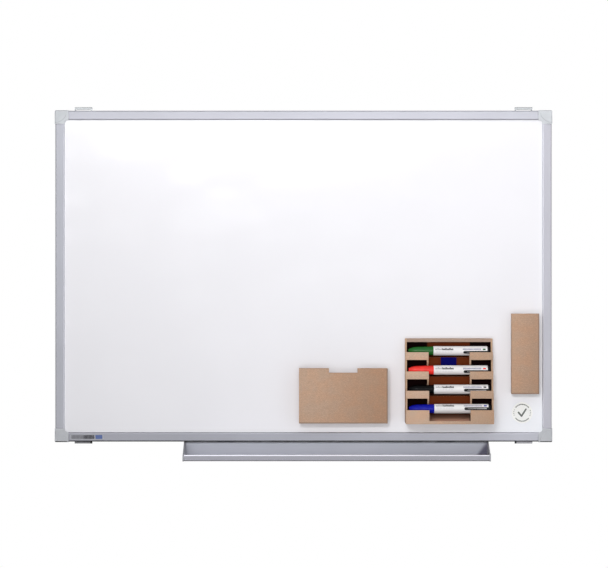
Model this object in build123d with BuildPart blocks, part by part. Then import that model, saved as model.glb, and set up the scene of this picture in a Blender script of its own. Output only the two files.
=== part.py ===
from build123d import *
import os

os.makedirs("parts", exist_ok=True)

# A wall whiteboard with a sliding pen tray and magnetic accessories, in millimetres.
# X runs to the right, Y to the wall and Z up. Y = 0 is the wall, and the origin is the
# middle of the four wall screw holes.

# Frame, measured over the rails
board_width = 900.0
board_height = 600.0

# Panel: enamelled steel, core board and backing sheet
steel_thickness = 0.5
core_thickness = 10.0
backing_thickness = 0.3

# Rail section
rail_outer_wall = 1.3
key_chamber = 4.5
rail_front_wall = 1.5
rail_web = 1.2
rail_edge_radius = 2.4
rail_face_drop = 2.0
lip_depth = 4.2
lip_cover = 9.0
panel_edge_gap = 1.0
web_setback = 3.4
channel_reach = 3.2
mouth_clearance = 0.5
hook_channel_gap = 0.4

# Corner caps, keys and set screws
cap_proud = 0.8
cap_inner_radius = 6.0
cap_straight = 1.0
cap_outer_radius = 2.4
cap_front_radius = 2.0
cap_step_radius = 22.0
cap_step = 0.5
cap_step_slope = 0.6
cap_wall = 1.6
cap_floor = 2.0
key_gap = 0.2
key_arm = 40.0
set_screw_radius = 1.5
set_screw_length = 8.0
set_screw_inset = 20.0
set_screw_bore_gap = 0.1
set_screw_access_radius = 1.8
set_screw_socket_radius = 0.8
set_screw_socket_depth = 2.0

# Wall clips and brackets, bent from one steel sheet
clip_width = 32.0
clip_sheet = 1.6
clip_inset_x = 50.0
clip_hole_inset_z = 30.0
clip_hole_radius = 2.6
clip_tail = 22.0
clip_lip_gap = 0.3
clip_rail_gap = 0.4
clip_bend_radius = 1.2
clip_top_rise = 7.2
clip_top_slot = 2.5
clip_prong_width = 2.6
clip_prong_reach = 3.2
bracket_drop = 4.3
bracket_stop_width = 3.2
bracket_stop_gap = 0.4

# Name plate and round label
plate_width = 60.0
plate_height = 9.0
plate_thickness = 0.3
plate_left_inset = 57.5
plate_radius = 0.8
label_radius = 19.0
label_thickness = 0.15
label_right_inset = 53.5
label_bottom_inset = 52.2

# Pen tray
tray_length = 553.0
tray_right_inset = 114.0
tray_sheet = 1.5
tray_depth = 68.0
tray_drop = 31.0
tray_top_gap = 0.8
tray_nose_reach = 2.0
tray_nose_radius = 0.9
tray_nose_flat = 0.6
tray_lip_height = 11.0
tray_lip_head_height = 4.2
tray_lip_radius = 2.0
tray_lip_flat = 0.4
tray_lip_groove = 0.5
tray_lip_groove_height = 1.2
tray_corner_radius = 3.0
tray_end_thickness = 2.4
tray_end_proud = 0.5
tray_end_radius = 1.5
tray_shoulder = 6.0
hook_width = 30.0
hook_sheet = 1.6
hook_inset = 76.5
hook_foot_reach = 2.3
hook_gap = 0.3
hook_leg = 24.0
hook_screw_radius = 1.5
hook_screw_gap = 0.1
hook_screw_head_radius = 2.8
hook_screw_head_height = 1.4
hook_screw_spacing = 16.0
hook_screw_drop = 14.0
hook_screw_skin = 0.5

# Fibreboard accessories
fibreboard = 3.0
slide_clearance = 0.15
magnet_radius = 10.0
magnet_thickness = 2.0
magnet_pocket_gap = 0.1
magnet_inset = 22.0

# Card box
box_width = 160.0
box_height = 98.8
box_depth = 30.0
box_notch_width = 52.0
box_notch_depth = 8.2
box_bottom_inset = 34.4
box_to_rack_gap = 32.0

# Marker rack
rack_bottom_inset = 34.55
rack_to_eraser_gap = 34.1
rack_top_thickness = 6.4
rack_top_depth = 12.5
tier_count = 4
tier_step = 10.5
tier_pitch = 34.4
first_axis_drop = 22.3
marker_end_gap = 3.0
marker_back_gap = 0.9
marker_front_gap = 0.8
marker_seat_gap = 0.3
lip_height = 14.0
last_lip_height = 25.0
last_lip_strip = 5.5
lip_below_axis = 2.2
notch_width = 74.0
gusset_front_gap = 6.1
gusset_rear_dip = 3.9

# Spare magnet kept in the rack, above the marker of its tier
spare_tier = 1
spare_width = 28.0
spare_height = 15.7
spare_thickness = 3.0
spare_x_shift = -0.5
spare_dip = 1.6
spare_radius = 1.0

# Markers
marker_length = 146.0
marker_radius = 8.5
marker_wall = 1.2
cap_length = 45.0
cap_taper = 18.0
cap_taper_mid = 7.0
cap_tip_step = 5.1
cap_taper_mid_step = 2.2
cap_shoulder_step = 0.9
cap_mouth_step = 0.4
marker_cap_wall = 1.5
cap_tip_wall = 5.0
nose_gap = 0.3
nib_holder_wall = 0.7
nib_holder_gap = 0.6
nib_holder_length = 6.0
nib_radius = 2.4
nib_reach = 3.5
core_gap = 0.3
barrel_shoulder = 4.0
barrel_edge_radius = 0.8
plug_step = 1.3
plug_flange = 3.5
plug_spigot = 3.5
plug_edge_radius = 1.0

# Eraser
eraser_right_inset = 24.5
eraser_bottom_inset = 87.0
eraser_width = 49.6
eraser_height = 145.2
eraser_pad_thickness = 6.0
eraser_pad_inset = 1.2
eraser_block_thickness = 13.0
eraser_wall = 8.0
eraser_base = 5.0
eraser_magnet_radius = 9.0
eraser_magnet_thickness = 3.0
eraser_magnet_inset = 30.6

# Worked out: the rails' faces and channels, from what they hold
wall_gap = clip_sheet + clip_rail_gap
mouth_width = clip_lip_gap + clip_sheet + mouth_clearance
channel_width = clip_lip_gap + hook_sheet + hook_foot_reach + hook_channel_gap
rail_face = rail_outer_wall + key_chamber + rail_web + panel_edge_gap + lip_cover
cap_reach = rail_face + cap_inner_radius + cap_straight

# Worked out: depths from the back of a rail to its front
panel_thickness = steel_thickness + core_thickness + backing_thickness
mouth_front = rail_web + mouth_width
channel_front = rail_web + channel_width
key_back = channel_front + rail_web
panel_back = web_setback + rail_web
panel_front = panel_back + panel_thickness
rail_depth = panel_front + lip_depth
outer_depth = rail_depth - rail_face_drop
front_inside = outer_depth - rail_front_wall

# Worked out: insets from a rail's outer face towards the middle of the board
channel_floor = rail_outer_wall + channel_reach
channel_floor_back = channel_floor + rail_web
slot_bottom = rail_face - lip_cover - panel_edge_gap
key_inner = slot_bottom - rail_web
panel_inset = slot_bottom + panel_edge_gap
key_middle = (rail_outer_wall + key_inner) / 2
lip_inside = rail_depth - rail_front_wall - rail_face_drop * (rail_face - slot_bottom) / rail_face

rail_back_y = -wall_gap
surface_y = -wall_gap - panel_front
clip_lip_y = rail_back_y - rail_web - clip_lip_gap
half_width = board_width / 2
half_height = board_height / 2
clip_x = half_width - clip_inset_x
clip_hole_z = half_height - clip_hole_inset_z
sides = (-1, 1)


def at_depth(depth):
    """Y of a depth measured forwards from the back of the rails."""
    return rail_back_y - depth


def off_board(distance):
    """Y of a distance in front of the writing surface."""
    return surface_y - distance


def block(x_span, y_span, z_span, mode=Mode.ADD):
    """A box between two limits on each axis, in the part being built."""
    spans = (x_span, y_span, z_span)
    middle = tuple((low + high) / 2 for low, high in spans)
    size = tuple(abs(high - low) for low, high in spans)
    with Locations(middle):
        Box(*size, mode=mode)


def disc(x, z, y_rear, y_front, radius, mode=Mode.ADD):
    """A round plug or hole along Y, in the part being built."""
    with BuildSketch(Plane.XZ.offset(-y_rear)) as outline:
        with Locations((x, z)):
            Circle(radius)
    extrude(outline.sketch, amount=y_rear - y_front, mode=mode)


def save(piece, name):
    """Labels a finished piece and writes its STEP file."""
    piece.part.label = name
    export_step(piece.part, f"parts/{name}.step")


def near(*points):
    """The corners of the sketch being drawn that lie at these points."""
    return ShapeList(vertices().sort_by_distance((x, y, 0))[0] for x, y in points)


def window(x_span, y_span):
    """A rectangular opening in the sketch being drawn."""
    with Locations(((x_span[0] + x_span[1]) / 2, (y_span[0] + y_span[1]) / 2)):
        Rectangle(x_span[1] - x_span[0], y_span[1] - y_span[0], mode=Mode.SUBTRACT)


# Panel


def make_sheet(name, depth_span):
    """One layer of the panel, held all round in the rails' slot."""
    with BuildPart() as sheet:
        block(
            (-half_width + panel_inset, half_width - panel_inset),
            (at_depth(depth_span[0]), at_depth(depth_span[1])),
            (-half_height + panel_inset, half_height - panel_inset),
        )
    save(sheet, name)


core_back = panel_back + backing_thickness
core_front = core_back + core_thickness
make_sheet("backing_sheet", (panel_back, core_back))
make_sheet("core_board", (core_back, core_front))
make_sheet("writing_surface", (core_front, panel_front))


# Rails


def rail_section():
    """Section of a rail: X runs inwards from its outer face, Y forwards from its back.

    Its front slopes back towards the outer face.
    """
    with BuildLine() as outline:
        Polyline((0, 0), (rail_face, 0), (rail_face, rail_depth), (0, outer_depth), close=True)
    make_face(outline.edges())
    window((0, rail_outer_wall), (rail_web, mouth_front))
    window((rail_outer_wall, channel_floor), (rail_web, channel_front))
    window((channel_floor_back, rail_face), (0, web_setback))
    window((rail_outer_wall, key_inner), (key_back, front_inside))
    window((slot_bottom, rail_face), (panel_back, panel_front))
    window((slot_bottom, rail_face - rail_front_wall), (panel_front, lip_inside))
    fillet(near((0, outer_depth), (rail_face, rail_depth)), radius=rail_edge_radius)


def make_rail(name, start, inward, length, hole_places):
    """A rail from its start, with two holes at the back through which the set screws are turned."""
    forward = Vector(0, -1, 0)
    with BuildPart() as rail:
        with BuildSketch(Plane(origin=start, x_dir=inward, z_dir=inward.cross(forward))):
            rail_section()
        extrude(amount=length)
        for x, z in hole_places:
            disc(x, z, rail_back_y, at_depth(key_back), set_screw_access_radius, mode=Mode.SUBTRACT)
    save(rail, name)


long_half = half_width - cap_reach
short_half = half_height - cap_reach
long_screw = long_half - set_screw_inset
short_screw = short_half - set_screw_inset
key_x = half_width - key_middle
key_z = half_height - key_middle

make_rail(
    "rail_top",
    (long_half, rail_back_y, half_height),
    Vector(0, 0, -1),
    2 * long_half,
    [(side * long_screw, key_z) for side in sides],
)
make_rail(
    "rail_bottom",
    (-long_half, rail_back_y, -half_height),
    Vector(0, 0, 1),
    2 * long_half,
    [(side * long_screw, -key_z) for side in sides],
)
make_rail(
    "rail_left",
    (-half_width, rail_back_y, short_half),
    Vector(1, 0, 0),
    2 * short_half,
    [(-key_x, side * short_screw) for side in sides],
)
make_rail(
    "rail_right",
    (half_width, rail_back_y, -short_half),
    Vector(-1, 0, 0),
    2 * short_half,
    [(key_x, side * short_screw) for side in sides],
)


# Corners


def corner_block(x_side, z_side, x_insets, depths, z_insets, mode=Mode.ADD):
    """A box at one corner, given by insets from the rails' outer faces and depths from their back."""
    block(
        tuple(x_side * (half_width - inset) for inset in x_insets),
        tuple(at_depth(depth) for depth in depths),
        tuple(z_side * (half_height - inset) for inset in z_insets),
        mode=mode,
    )


def make_corner_cap(name, x_side, z_side):
    """A moulded cap over one corner: it takes the panel's corner and the key from behind."""
    outside = (-cap_proud, cap_reach)
    cap_front = rail_depth + cap_proud
    pocket = (rail_outer_wall - key_gap, key_inner + key_gap)
    pocket_run = (rail_outer_wall - key_gap, cap_reach)
    panel_run = (slot_bottom + key_gap, cap_reach)
    recess = (slot_bottom + cap_wall, cap_reach - cap_wall)
    corner = (x_side * (half_width + cap_proud), z_side * (half_height + cap_proud))
    with BuildPart() as cap:
        corner_block(x_side, z_side, outside, (-wall_gap, cap_front), outside)
        upright = cap.edges().filter_by(Axis.Y).sort_by_distance((corner[0], 0, corner[1]))[0]
        fillet(upright, radius=cap_outer_radius)
        front_edges = cap.faces().sort_by(Axis.Y)[0].outer_wire().edges()
        seams = front_edges.filter_by(Axis.X).sort_by(Axis.Z)
        uprights = front_edges.filter_by(Axis.Z).sort_by(Axis.X)
        joined = (seams[0] if z_side > 0 else seams[-1], uprights[0] if x_side > 0 else uprights[-1])
        fillet([edge for edge in front_edges if edge not in joined], radius=cap_front_radius)
        front_y = at_depth(cap_front)
        stepped_y = front_y + cap_step
        far = 2 * cap_reach
        with BuildSketch(Plane(origin=(corner[0], 0, corner[1]), x_dir=(1, 0, 0), z_dir=(0, 0, 1))):
            with BuildLine():
                Polyline(
                    (cap_step_radius, front_y),
                    (cap_step_radius + cap_step_slope, stepped_y),
                    (far, stepped_y),
                    (far, front_y),
                    close=True,
                )
            make_face()
        revolve(axis=Axis((corner[0], 0, corner[1]), (0, 1, 0)), mode=Mode.SUBTRACT)
        with BuildSketch(Plane.XZ.offset(-at_depth(panel_front))):
            view = cap_reach - rail_face
            with Locations((x_side * (half_width - cap_reach), z_side * (half_height - cap_reach))):
                Rectangle(2 * view, 2 * view)
            fillet(
                vertices().sort_by_distance((corner[0], corner[1], 0))[0],
                radius=cap_inner_radius,
            )
        extrude(amount=cap_front - panel_front, mode=Mode.SUBTRACT)
        corner_block(
            x_side, z_side, panel_run, (panel_back, panel_front), panel_run, mode=Mode.SUBTRACT
        )
        corner_block(
            x_side, z_side, recess, (-wall_gap, panel_back - cap_floor), recess, mode=Mode.SUBTRACT
        )
        key_depths = (-wall_gap, front_inside)
        corner_block(x_side, z_side, pocket_run, key_depths, pocket, mode=Mode.SUBTRACT)
        corner_block(x_side, z_side, pocket, key_depths, pocket_run, mode=Mode.SUBTRACT)
    save(cap, name)


corners = {
    "top_left": (-1, 1),
    "top_right": (1, 1),
    "bottom_left": (-1, -1),
    "bottom_right": (1, -1),
}
for place, (x_side, z_side) in corners.items():
    make_corner_cap(f"corner_cap_{place}", x_side, z_side)


def screw_places(x_side, z_side):
    """The two set screws of one corner, in X and Z."""
    return (
        (x_side * long_screw, z_side * key_z),
        (x_side * key_x, z_side * short_screw),
    )


with BuildPart() as corner_keys:
    for x_side, z_side in corners.values():
        arm = (rail_outer_wall + key_gap, key_inner - key_gap)
        run = (rail_outer_wall + key_gap, cap_reach + key_arm)
        depths = (key_back + key_gap, front_inside - key_gap)
        corner_block(x_side, z_side, run, depths, arm)
        corner_block(x_side, z_side, arm, depths, run)
        for x, z in screw_places(x_side, z_side):
            disc(
                x,
                z,
                at_depth(key_back),
                at_depth(front_inside),
                set_screw_radius + set_screw_bore_gap,
                mode=Mode.SUBTRACT,
            )
save(corner_keys, "corner_keys")

with BuildPart() as corner_set_screws:
    screw_back = front_inside - set_screw_length
    for x_side, z_side in corners.values():
        for x, z in screw_places(x_side, z_side):
            disc(x, z, at_depth(screw_back), at_depth(front_inside), set_screw_radius)
            disc(
                x,
                z,
                at_depth(screw_back),
                at_depth(screw_back + set_screw_socket_depth),
                set_screw_socket_radius,
                mode=Mode.SUBTRACT,
            )
save(corner_set_screws, "corner_set_screws")


# Wall clips at the top and brackets at the bottom

clip_half = clip_width / 2
lip_front_y = clip_lip_y - clip_sheet


def round_bends(piece, z, radius):
    """Rounds the two long outer edges of a fold whose outer face is at height z."""
    edges = piece.edges().filter_by(Axis.X).group_by(SortBy.LENGTH)[-1]
    fold = [edge for edge in edges if abs(edge.center().Z - z) < clip_sheet / 2]
    front_and_back = ShapeList(fold).sort_by(Axis.Y)
    fillet([front_and_back[0], front_and_back[-1]], radius=radius)


for word, side in (("left", -1), ("right", 1)):
    middle = side * clip_x
    full = (middle - clip_half, middle + clip_half)
    inside = (full[0] + clip_prong_width, full[1] - clip_prong_width)
    crest = half_height + clip_top_rise
    grip_bottom = half_height + clip_top_slot
    with BuildPart() as clip:
        block(full, (-clip_sheet, 0), (clip_hole_z - clip_tail, crest))
        block(full, (lip_front_y, 0), (crest - clip_sheet, crest))
        block(full, (lip_front_y, clip_lip_y), (half_height - clip_prong_reach, crest))
        round_bends(clip, crest, clip_bend_radius)
        window_span = (half_height - clip_prong_reach, grip_bottom)
        block(inside, (lip_front_y, 0), window_span, mode=Mode.SUBTRACT)
        disc(middle, clip_hole_z, 0, -clip_sheet, clip_hole_radius, mode=Mode.SUBTRACT)
    save(clip, f"wall_clip_top_{word}")

    steel = sorted((side * (clip_x - clip_half + bracket_stop_width), side * (clip_x + clip_half)))
    foot = -half_height - bracket_drop
    lip_top = -half_height + channel_floor
    with BuildPart() as bracket:
        block(steel, (-clip_sheet, 0), (foot, -clip_hole_z + clip_tail))
        block(steel, (lip_front_y, 0), (foot, foot + clip_sheet))
        block(steel, (lip_front_y, clip_lip_y), (foot, lip_top))
        round_bends(bracket, foot, clip_bend_radius)
        disc(middle, -clip_hole_z, 0, -clip_sheet, clip_hole_radius, mode=Mode.SUBTRACT)
    save(bracket, f"wall_bracket_bottom_{word}")

with BuildPart() as bracket_stops:
    for side in sides:
        inner_end = clip_x - clip_half
        block(
            (side * inner_end, side * (inner_end + bracket_stop_width)),
            (lip_front_y, -clip_sheet),
            (-half_height - bracket_drop, -half_height - bracket_stop_gap),
        )
save(bracket_stops, "bracket_stops")


# Plate on the bottom rail and round label on the surface

plate_x = -half_width + plate_left_inset
label_x = half_width - label_right_inset
label_z = -half_height + label_bottom_inset

plate_seat = (plate_x, at_depth((rail_depth + outer_depth) / 2), -half_height + rail_face / 2)
face_normal = (0, -rail_face, -rail_face_drop)

with BuildPart() as name_plate:
    with BuildSketch(Plane(origin=plate_seat, x_dir=(1, 0, 0), z_dir=face_normal)):
        RectangleRounded(plate_width, plate_height, plate_radius)
    extrude(amount=plate_thickness)
save(name_plate, "name_plate")

with BuildPart() as round_label:
    disc(label_x, label_z, surface_y, off_board(label_thickness), label_radius)
save(round_label, "round_label")


# Pen tray

tray_x = half_width - tray_right_inset - tray_length / 2
tray_back_y = clip_lip_y - hook_sheet
tray_top = -half_height - tray_top_gap
tray_floor = tray_top - tray_drop
tray_front_y = tray_back_y - tray_depth
tray_lip_top = tray_floor + tray_lip_height
tray_lip_head = 2 * tray_lip_radius + tray_lip_flat
tray_nose_height = 2 * tray_nose_radius + tray_nose_flat
profile_length = tray_length - 2 * tray_end_thickness
hook_middles = [tray_x + side * (tray_length / 2 - hook_inset) for side in sides]
hook_screw_x = [middle + side * hook_screw_spacing / 2 for middle in hook_middles for side in sides]
hook_screw_z = tray_top - hook_screw_drop
screw_tip_y = tray_back_y - tray_sheet + hook_screw_skin


with BuildPart() as tray_profile:
    back_face = tray_back_y - tray_sheet
    nose_front = back_face - tray_nose_reach
    nose_bottom = tray_top - tray_nose_height
    floor_top = tray_floor + tray_sheet
    head_bottom = tray_lip_top - tray_lip_head_height
    groove_z = (tray_floor + head_bottom) / 2
    with BuildSketch(Plane.YZ.offset(tray_x - profile_length / 2)):
        with BuildLine():
            Polyline(
                (tray_back_y, tray_top),
                (nose_front, tray_top),
                (nose_front, nose_bottom),
                (back_face, nose_bottom),
                (back_face, floor_top),
                (tray_front_y + tray_sheet, floor_top),
                (tray_front_y + tray_sheet, head_bottom),
                (tray_front_y + tray_lip_head, head_bottom),
                (tray_front_y + tray_lip_head, tray_lip_top),
                (tray_front_y, tray_lip_top),
                (tray_front_y, tray_floor),
                (tray_back_y, tray_floor),
                close=True,
            )
        make_face()
        fillet(near((nose_front, tray_top), (nose_front, nose_bottom)), radius=tray_nose_radius)
        fillet(
            near((tray_front_y, tray_lip_top), (tray_front_y + tray_lip_head, tray_lip_top)),
            radius=tray_lip_radius,
        )
        fillet(near((tray_front_y, tray_floor)), radius=tray_sheet)
        fillet(
            near((back_face, floor_top), (tray_front_y + tray_sheet, floor_top)),
            radius=tray_corner_radius,
        )
        with Locations((tray_front_y, groove_z)):
            Rectangle(2 * tray_lip_groove, tray_lip_groove_height, mode=Mode.SUBTRACT)
    extrude(amount=profile_length)
    for x in hook_screw_x:
        disc(
            x,
            hook_screw_z,
            tray_back_y,
            screw_tip_y,
            hook_screw_radius + hook_screw_gap,
            mode=Mode.SUBTRACT,
        )
save(tray_profile, "tray_profile")

for word, side in (("left", -1), ("right", 1)):
    inner = tray_x + side * profile_length / 2
    start = inner if side > 0 else inner - tray_end_thickness
    with BuildPart() as tray_end:
        with BuildSketch(Plane.YZ.offset(start)):
            with BuildLine():
                Polyline(
                    (tray_back_y, tray_top),
                    (tray_back_y - tray_shoulder, tray_top),
                    (tray_front_y + tray_shoulder, tray_lip_top + tray_end_proud),
                    (tray_front_y - tray_end_proud, tray_lip_top + tray_end_proud),
                    (tray_front_y - tray_end_proud, tray_floor - tray_end_proud),
                    (tray_back_y, tray_floor - tray_end_proud),
                    close=True,
                )
            make_face()
            fillet(vertices().sort_by(Axis.X)[:2], radius=tray_end_radius)
        extrude(amount=tray_end_thickness)
    save(tray_end, f"tray_end_{word}")

with BuildPart() as tray_hooks:
    foot_bottom = -half_height + rail_outer_wall + hook_gap
    foot_top = foot_bottom + hook_sheet
    for middle in hook_middles:
        span = (middle - hook_width / 2, middle + hook_width / 2)
        block(span, (tray_back_y, clip_lip_y), (tray_top - hook_leg, foot_top))
        block(span, (tray_back_y - hook_foot_reach, clip_lip_y), (foot_bottom, foot_top))
    for x in hook_screw_x:
        disc(
            x,
            hook_screw_z,
            clip_lip_y,
            tray_back_y,
            hook_screw_radius + hook_screw_gap,
            mode=Mode.SUBTRACT,
        )
save(tray_hooks, "tray_hooks")

with BuildPart() as tray_hook_screws:
    for x in hook_screw_x:
        head_back_y = clip_lip_y + hook_screw_head_height
        disc(x, hook_screw_z, clip_lip_y, screw_tip_y, hook_screw_radius)
        disc(x, hook_screw_z, head_back_y, clip_lip_y, hook_screw_head_radius)
save(tray_hook_screws, "tray_hook_screws")


# Fibreboard pieces that hold to the surface by magnets

slide_gap = label_thickness + slide_clearance
back_span = (off_board(slide_gap), off_board(slide_gap + fibreboard))

# Their places, from right to left
last = tier_count - 1
eraser_x = half_width - eraser_right_inset - eraser_width / 2
eraser_z = -half_height + eraser_bottom_inset + eraser_height / 2
rack_width = marker_length + 2 * marker_end_gap + 2 * fibreboard
rack_foot = lip_below_axis + last_lip_height
rack_height = first_axis_drop + last * tier_pitch + rack_foot
rack_x = eraser_x - eraser_width / 2 - rack_to_eraser_gap - rack_width / 2
rack_z = -half_height + rack_bottom_inset + rack_height / 2
box_x = rack_x - rack_width / 2 - box_to_rack_gap - box_width / 2
box_z = -half_height + box_bottom_inset + box_height / 2


def magnet_places(x, z, width, height):
    """Four magnet centres set in from the corners of a back."""
    reach_x = width / 2 - magnet_inset
    reach_z = height / 2 - magnet_inset
    return [(x + x_side * reach_x, z + z_side * reach_z) for x_side in sides for z_side in sides]


def magnet_pockets(places):
    """Blind round pockets in a back, open to the writing surface."""
    for x, z in places:
        disc(
            x,
            z,
            back_span[0],
            back_span[0] - magnet_thickness,
            magnet_radius + magnet_pocket_gap,
            mode=Mode.SUBTRACT,
        )


def make_magnets(name, places):
    """Flat round magnets, flush with the back that they are let into."""
    with BuildPart() as magnets:
        for x, z in places:
            disc(x, z, back_span[0], back_span[0] - magnet_thickness, magnet_radius)
    save(magnets, name)


# Card box

box_left = box_x - box_width / 2
box_right = box_x + box_width / 2
box_bottom = box_z - box_height / 2
box_top = box_z + box_height / 2
box_front_y = off_board(slide_gap + box_depth)
box_magnets = magnet_places(box_x, box_z, box_width, box_height)


def make_box_wall(name, y_span, places):
    """A full face of the card box, with the finger notch in its top edge."""
    with BuildPart() as wall:
        block((box_left, box_right), y_span, (box_bottom, box_top))
        block(
            (box_x - box_notch_width / 2, box_x + box_notch_width / 2),
            y_span,
            (box_top - box_notch_depth, box_top),
            mode=Mode.SUBTRACT,
        )
        magnet_pockets(places)
    save(wall, name)


make_box_wall("card_box_back", back_span, box_magnets)
make_box_wall("card_box_front", (box_front_y + fibreboard, box_front_y), [])
make_magnets("card_box_magnets", box_magnets)

box_inside = (back_span[1], box_front_y + fibreboard)
with BuildPart() as card_box_sides:
    block((box_left, box_left + fibreboard), box_inside, (box_bottom, box_top))
    block((box_right - fibreboard, box_right), box_inside, (box_bottom, box_top))
save(card_box_sides, "card_box_sides")

with BuildPart() as card_box_floor:
    block(
        (box_left + fibreboard, box_right - fibreboard),
        box_inside,
        (box_bottom, box_bottom + fibreboard),
    )
save(card_box_floor, "card_box_floor")


# Marker rack: each tier stands a step further out than the one above

rack_left = rack_x - rack_width / 2
rack_right = rack_x + rack_width / 2
rack_bottom = rack_z - rack_height / 2
rack_top = rack_z + rack_height / 2
rack_inside = (rack_left + fibreboard, rack_right - fibreboard)
rack_magnets = magnet_places(rack_x, rack_z, rack_width, rack_height)
back_front = slide_gap + fibreboard
rack_first_depth = back_front + marker_back_gap + 2 * marker_radius + marker_front_gap + fibreboard
tiers = range(tier_count)


def lip_front(tier):
    """Distance of a tier's lip face from the writing surface."""
    return rack_first_depth + tier * tier_step


def lip_back(tier):
    """Distance of the back of a tier's lip from the writing surface."""
    return lip_front(tier) - fibreboard


def axis_distance(tier):
    """Distance of a marker's axis from the writing surface."""
    return lip_back(tier) - marker_front_gap - marker_radius


def axis_z(tier):
    """Height of a marker's axis."""
    return rack_top - first_axis_drop - tier * tier_pitch


def lip_top(tier):
    """Height of a lip's top edge."""
    return axis_z(tier) - lip_below_axis


def lip_bottom(tier):
    """Height of a lip's bottom edge; the last lip reaches the rack's foot."""
    return lip_top(tier) - (last_lip_height if tier == last else lip_height)


def shelf_top(tier):
    """Height of the top of a shelf, just under its marker."""
    return axis_z(tier) - marker_radius - marker_seat_gap


def riser_front(tier):
    """Distance of the front of a tier's riser from the writing surface."""
    return axis_distance(tier) - marker_radius - marker_front_gap


with BuildPart() as rack_back:
    block((rack_left, rack_right), back_span, (rack_bottom, rack_top))
    magnet_pockets(rack_magnets)
save(rack_back, "rack_back")
make_magnets("rack_magnets", rack_magnets)

with BuildPart() as rack_sides:
    stairs = [(off_board(back_front), rack_bottom), (off_board(back_front), rack_top)]
    stairs += [(off_board(rack_top_depth), rack_top), (off_board(rack_top_depth), lip_top(0))]
    for tier in tiers:
        low = rack_bottom if tier == last else lip_top(tier + 1)
        stairs += [(off_board(lip_back(tier)), lip_top(tier)), (off_board(lip_back(tier)), low)]
    for start in (rack_left, rack_inside[1]):
        with BuildSketch(Plane.YZ.offset(start)):
            with BuildLine():
                Polyline(*stairs, close=True)
            make_face()
        extrude(amount=fibreboard)
save(rack_sides, "rack_sides")

with BuildPart() as rack_top_board:
    block(
        rack_inside,
        (off_board(back_front), off_board(rack_top_depth)),
        (rack_top - rack_top_thickness, rack_top),
    )
save(rack_top_board, "rack_top_board")

with BuildPart() as rack_floor:
    block(
        rack_inside,
        (off_board(back_front), off_board(lip_back(last))),
        (rack_bottom, rack_bottom + fibreboard),
    )
save(rack_floor, "rack_floor")

with BuildPart() as rack_risers:
    for tier in tiers[1:]:
        block(
            rack_inside,
            (off_board(riser_front(tier) - fibreboard), off_board(riser_front(tier))),
            (shelf_top(tier), shelf_top(tier - 1) - fibreboard),
        )
save(rack_risers, "rack_risers")

notch_left = rack_x - notch_width / 2
notch_right = rack_x + notch_width / 2
with BuildPart() as rack_shelves:
    for tier in tiers:
        rear = back_front if tier == 0 else riser_front(tier) - fibreboard
        for x_span in ((rack_inside[0], notch_left), (notch_right, rack_inside[1])):
            block(
                x_span,
                (off_board(rear), off_board(lip_back(tier))),
                (shelf_top(tier) - fibreboard, shelf_top(tier)),
            )
save(rack_shelves, "rack_shelves")

with BuildPart() as rack_lips:
    for tier in tiers:
        for x_span in ((rack_left, notch_left), (notch_right, rack_right)):
            block(
                x_span,
                (off_board(lip_back(tier)), off_board(lip_front(tier))),
                (lip_bottom(tier), lip_top(tier)),
            )
    block(
        (notch_left, notch_right),
        (off_board(lip_back(last)), off_board(lip_front(last))),
        (rack_bottom, rack_bottom + last_lip_strip),
    )
save(rack_lips, "rack_lips")

with BuildPart() as rack_gussets:
    for tier in tiers[:-1]:
        under = shelf_top(tier) - fibreboard
        rear = riser_front(tier + 1)
        marker_top = axis_z(tier + 1) + marker_radius
        outline = [
            (off_board(rear), under),
            (off_board(lip_back(tier)), under),
            (off_board(lip_back(tier)), marker_top + gusset_front_gap),
            (off_board(rear), marker_top - gusset_rear_dip),
        ]
        for start in (notch_left - fibreboard, notch_right):
            with BuildSketch(Plane.YZ.offset(start)):
                with BuildLine():
                    Polyline(*outline, close=True)
                make_face()
            extrude(amount=fibreboard)
save(rack_gussets, "rack_gussets")

with BuildPart() as spare_magnet:
    spare_bottom = axis_z(spare_tier) + marker_radius - spare_dip
    with BuildSketch(Plane.XZ.offset(-off_board(riser_front(spare_tier)))):
        with Locations((rack_x + spare_x_shift, spare_bottom + spare_height / 2)):
            RectangleRounded(spare_width, spare_height, spare_radius)
    extrude(amount=spare_thickness)
save(spare_magnet, "spare_magnet")


# Markers, each lying along X with its cap to the left

cap_mouth_radius = marker_radius - cap_mouth_step
cap_shoulder_radius = marker_radius - cap_shoulder_step
cap_taper_mid_radius = marker_radius - cap_taper_mid_step
cap_tip_radius = marker_radius - cap_tip_step
cap_bore_radius = cap_mouth_radius - marker_cap_wall
nose_radius = cap_bore_radius - nose_gap
nib_holder_radius = nib_radius + core_gap + nib_holder_wall
cap_nib_bore_radius = nib_holder_radius + nib_holder_gap
plug_radius = marker_radius - plug_step


def turned(points, x, y, z):
    """A turned piece from its half outline: X along the axis, Y the radius."""
    with BuildSketch(Plane(origin=(x, y, z), x_dir=(1, 0, 0), z_dir=(0, -1, 0))) as outline:
        with BuildLine():
            Polyline(*points, close=True)
        make_face()
    revolve(outline.sketch, axis=Axis((x, y, z), (1, 0, 0)))


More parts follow.
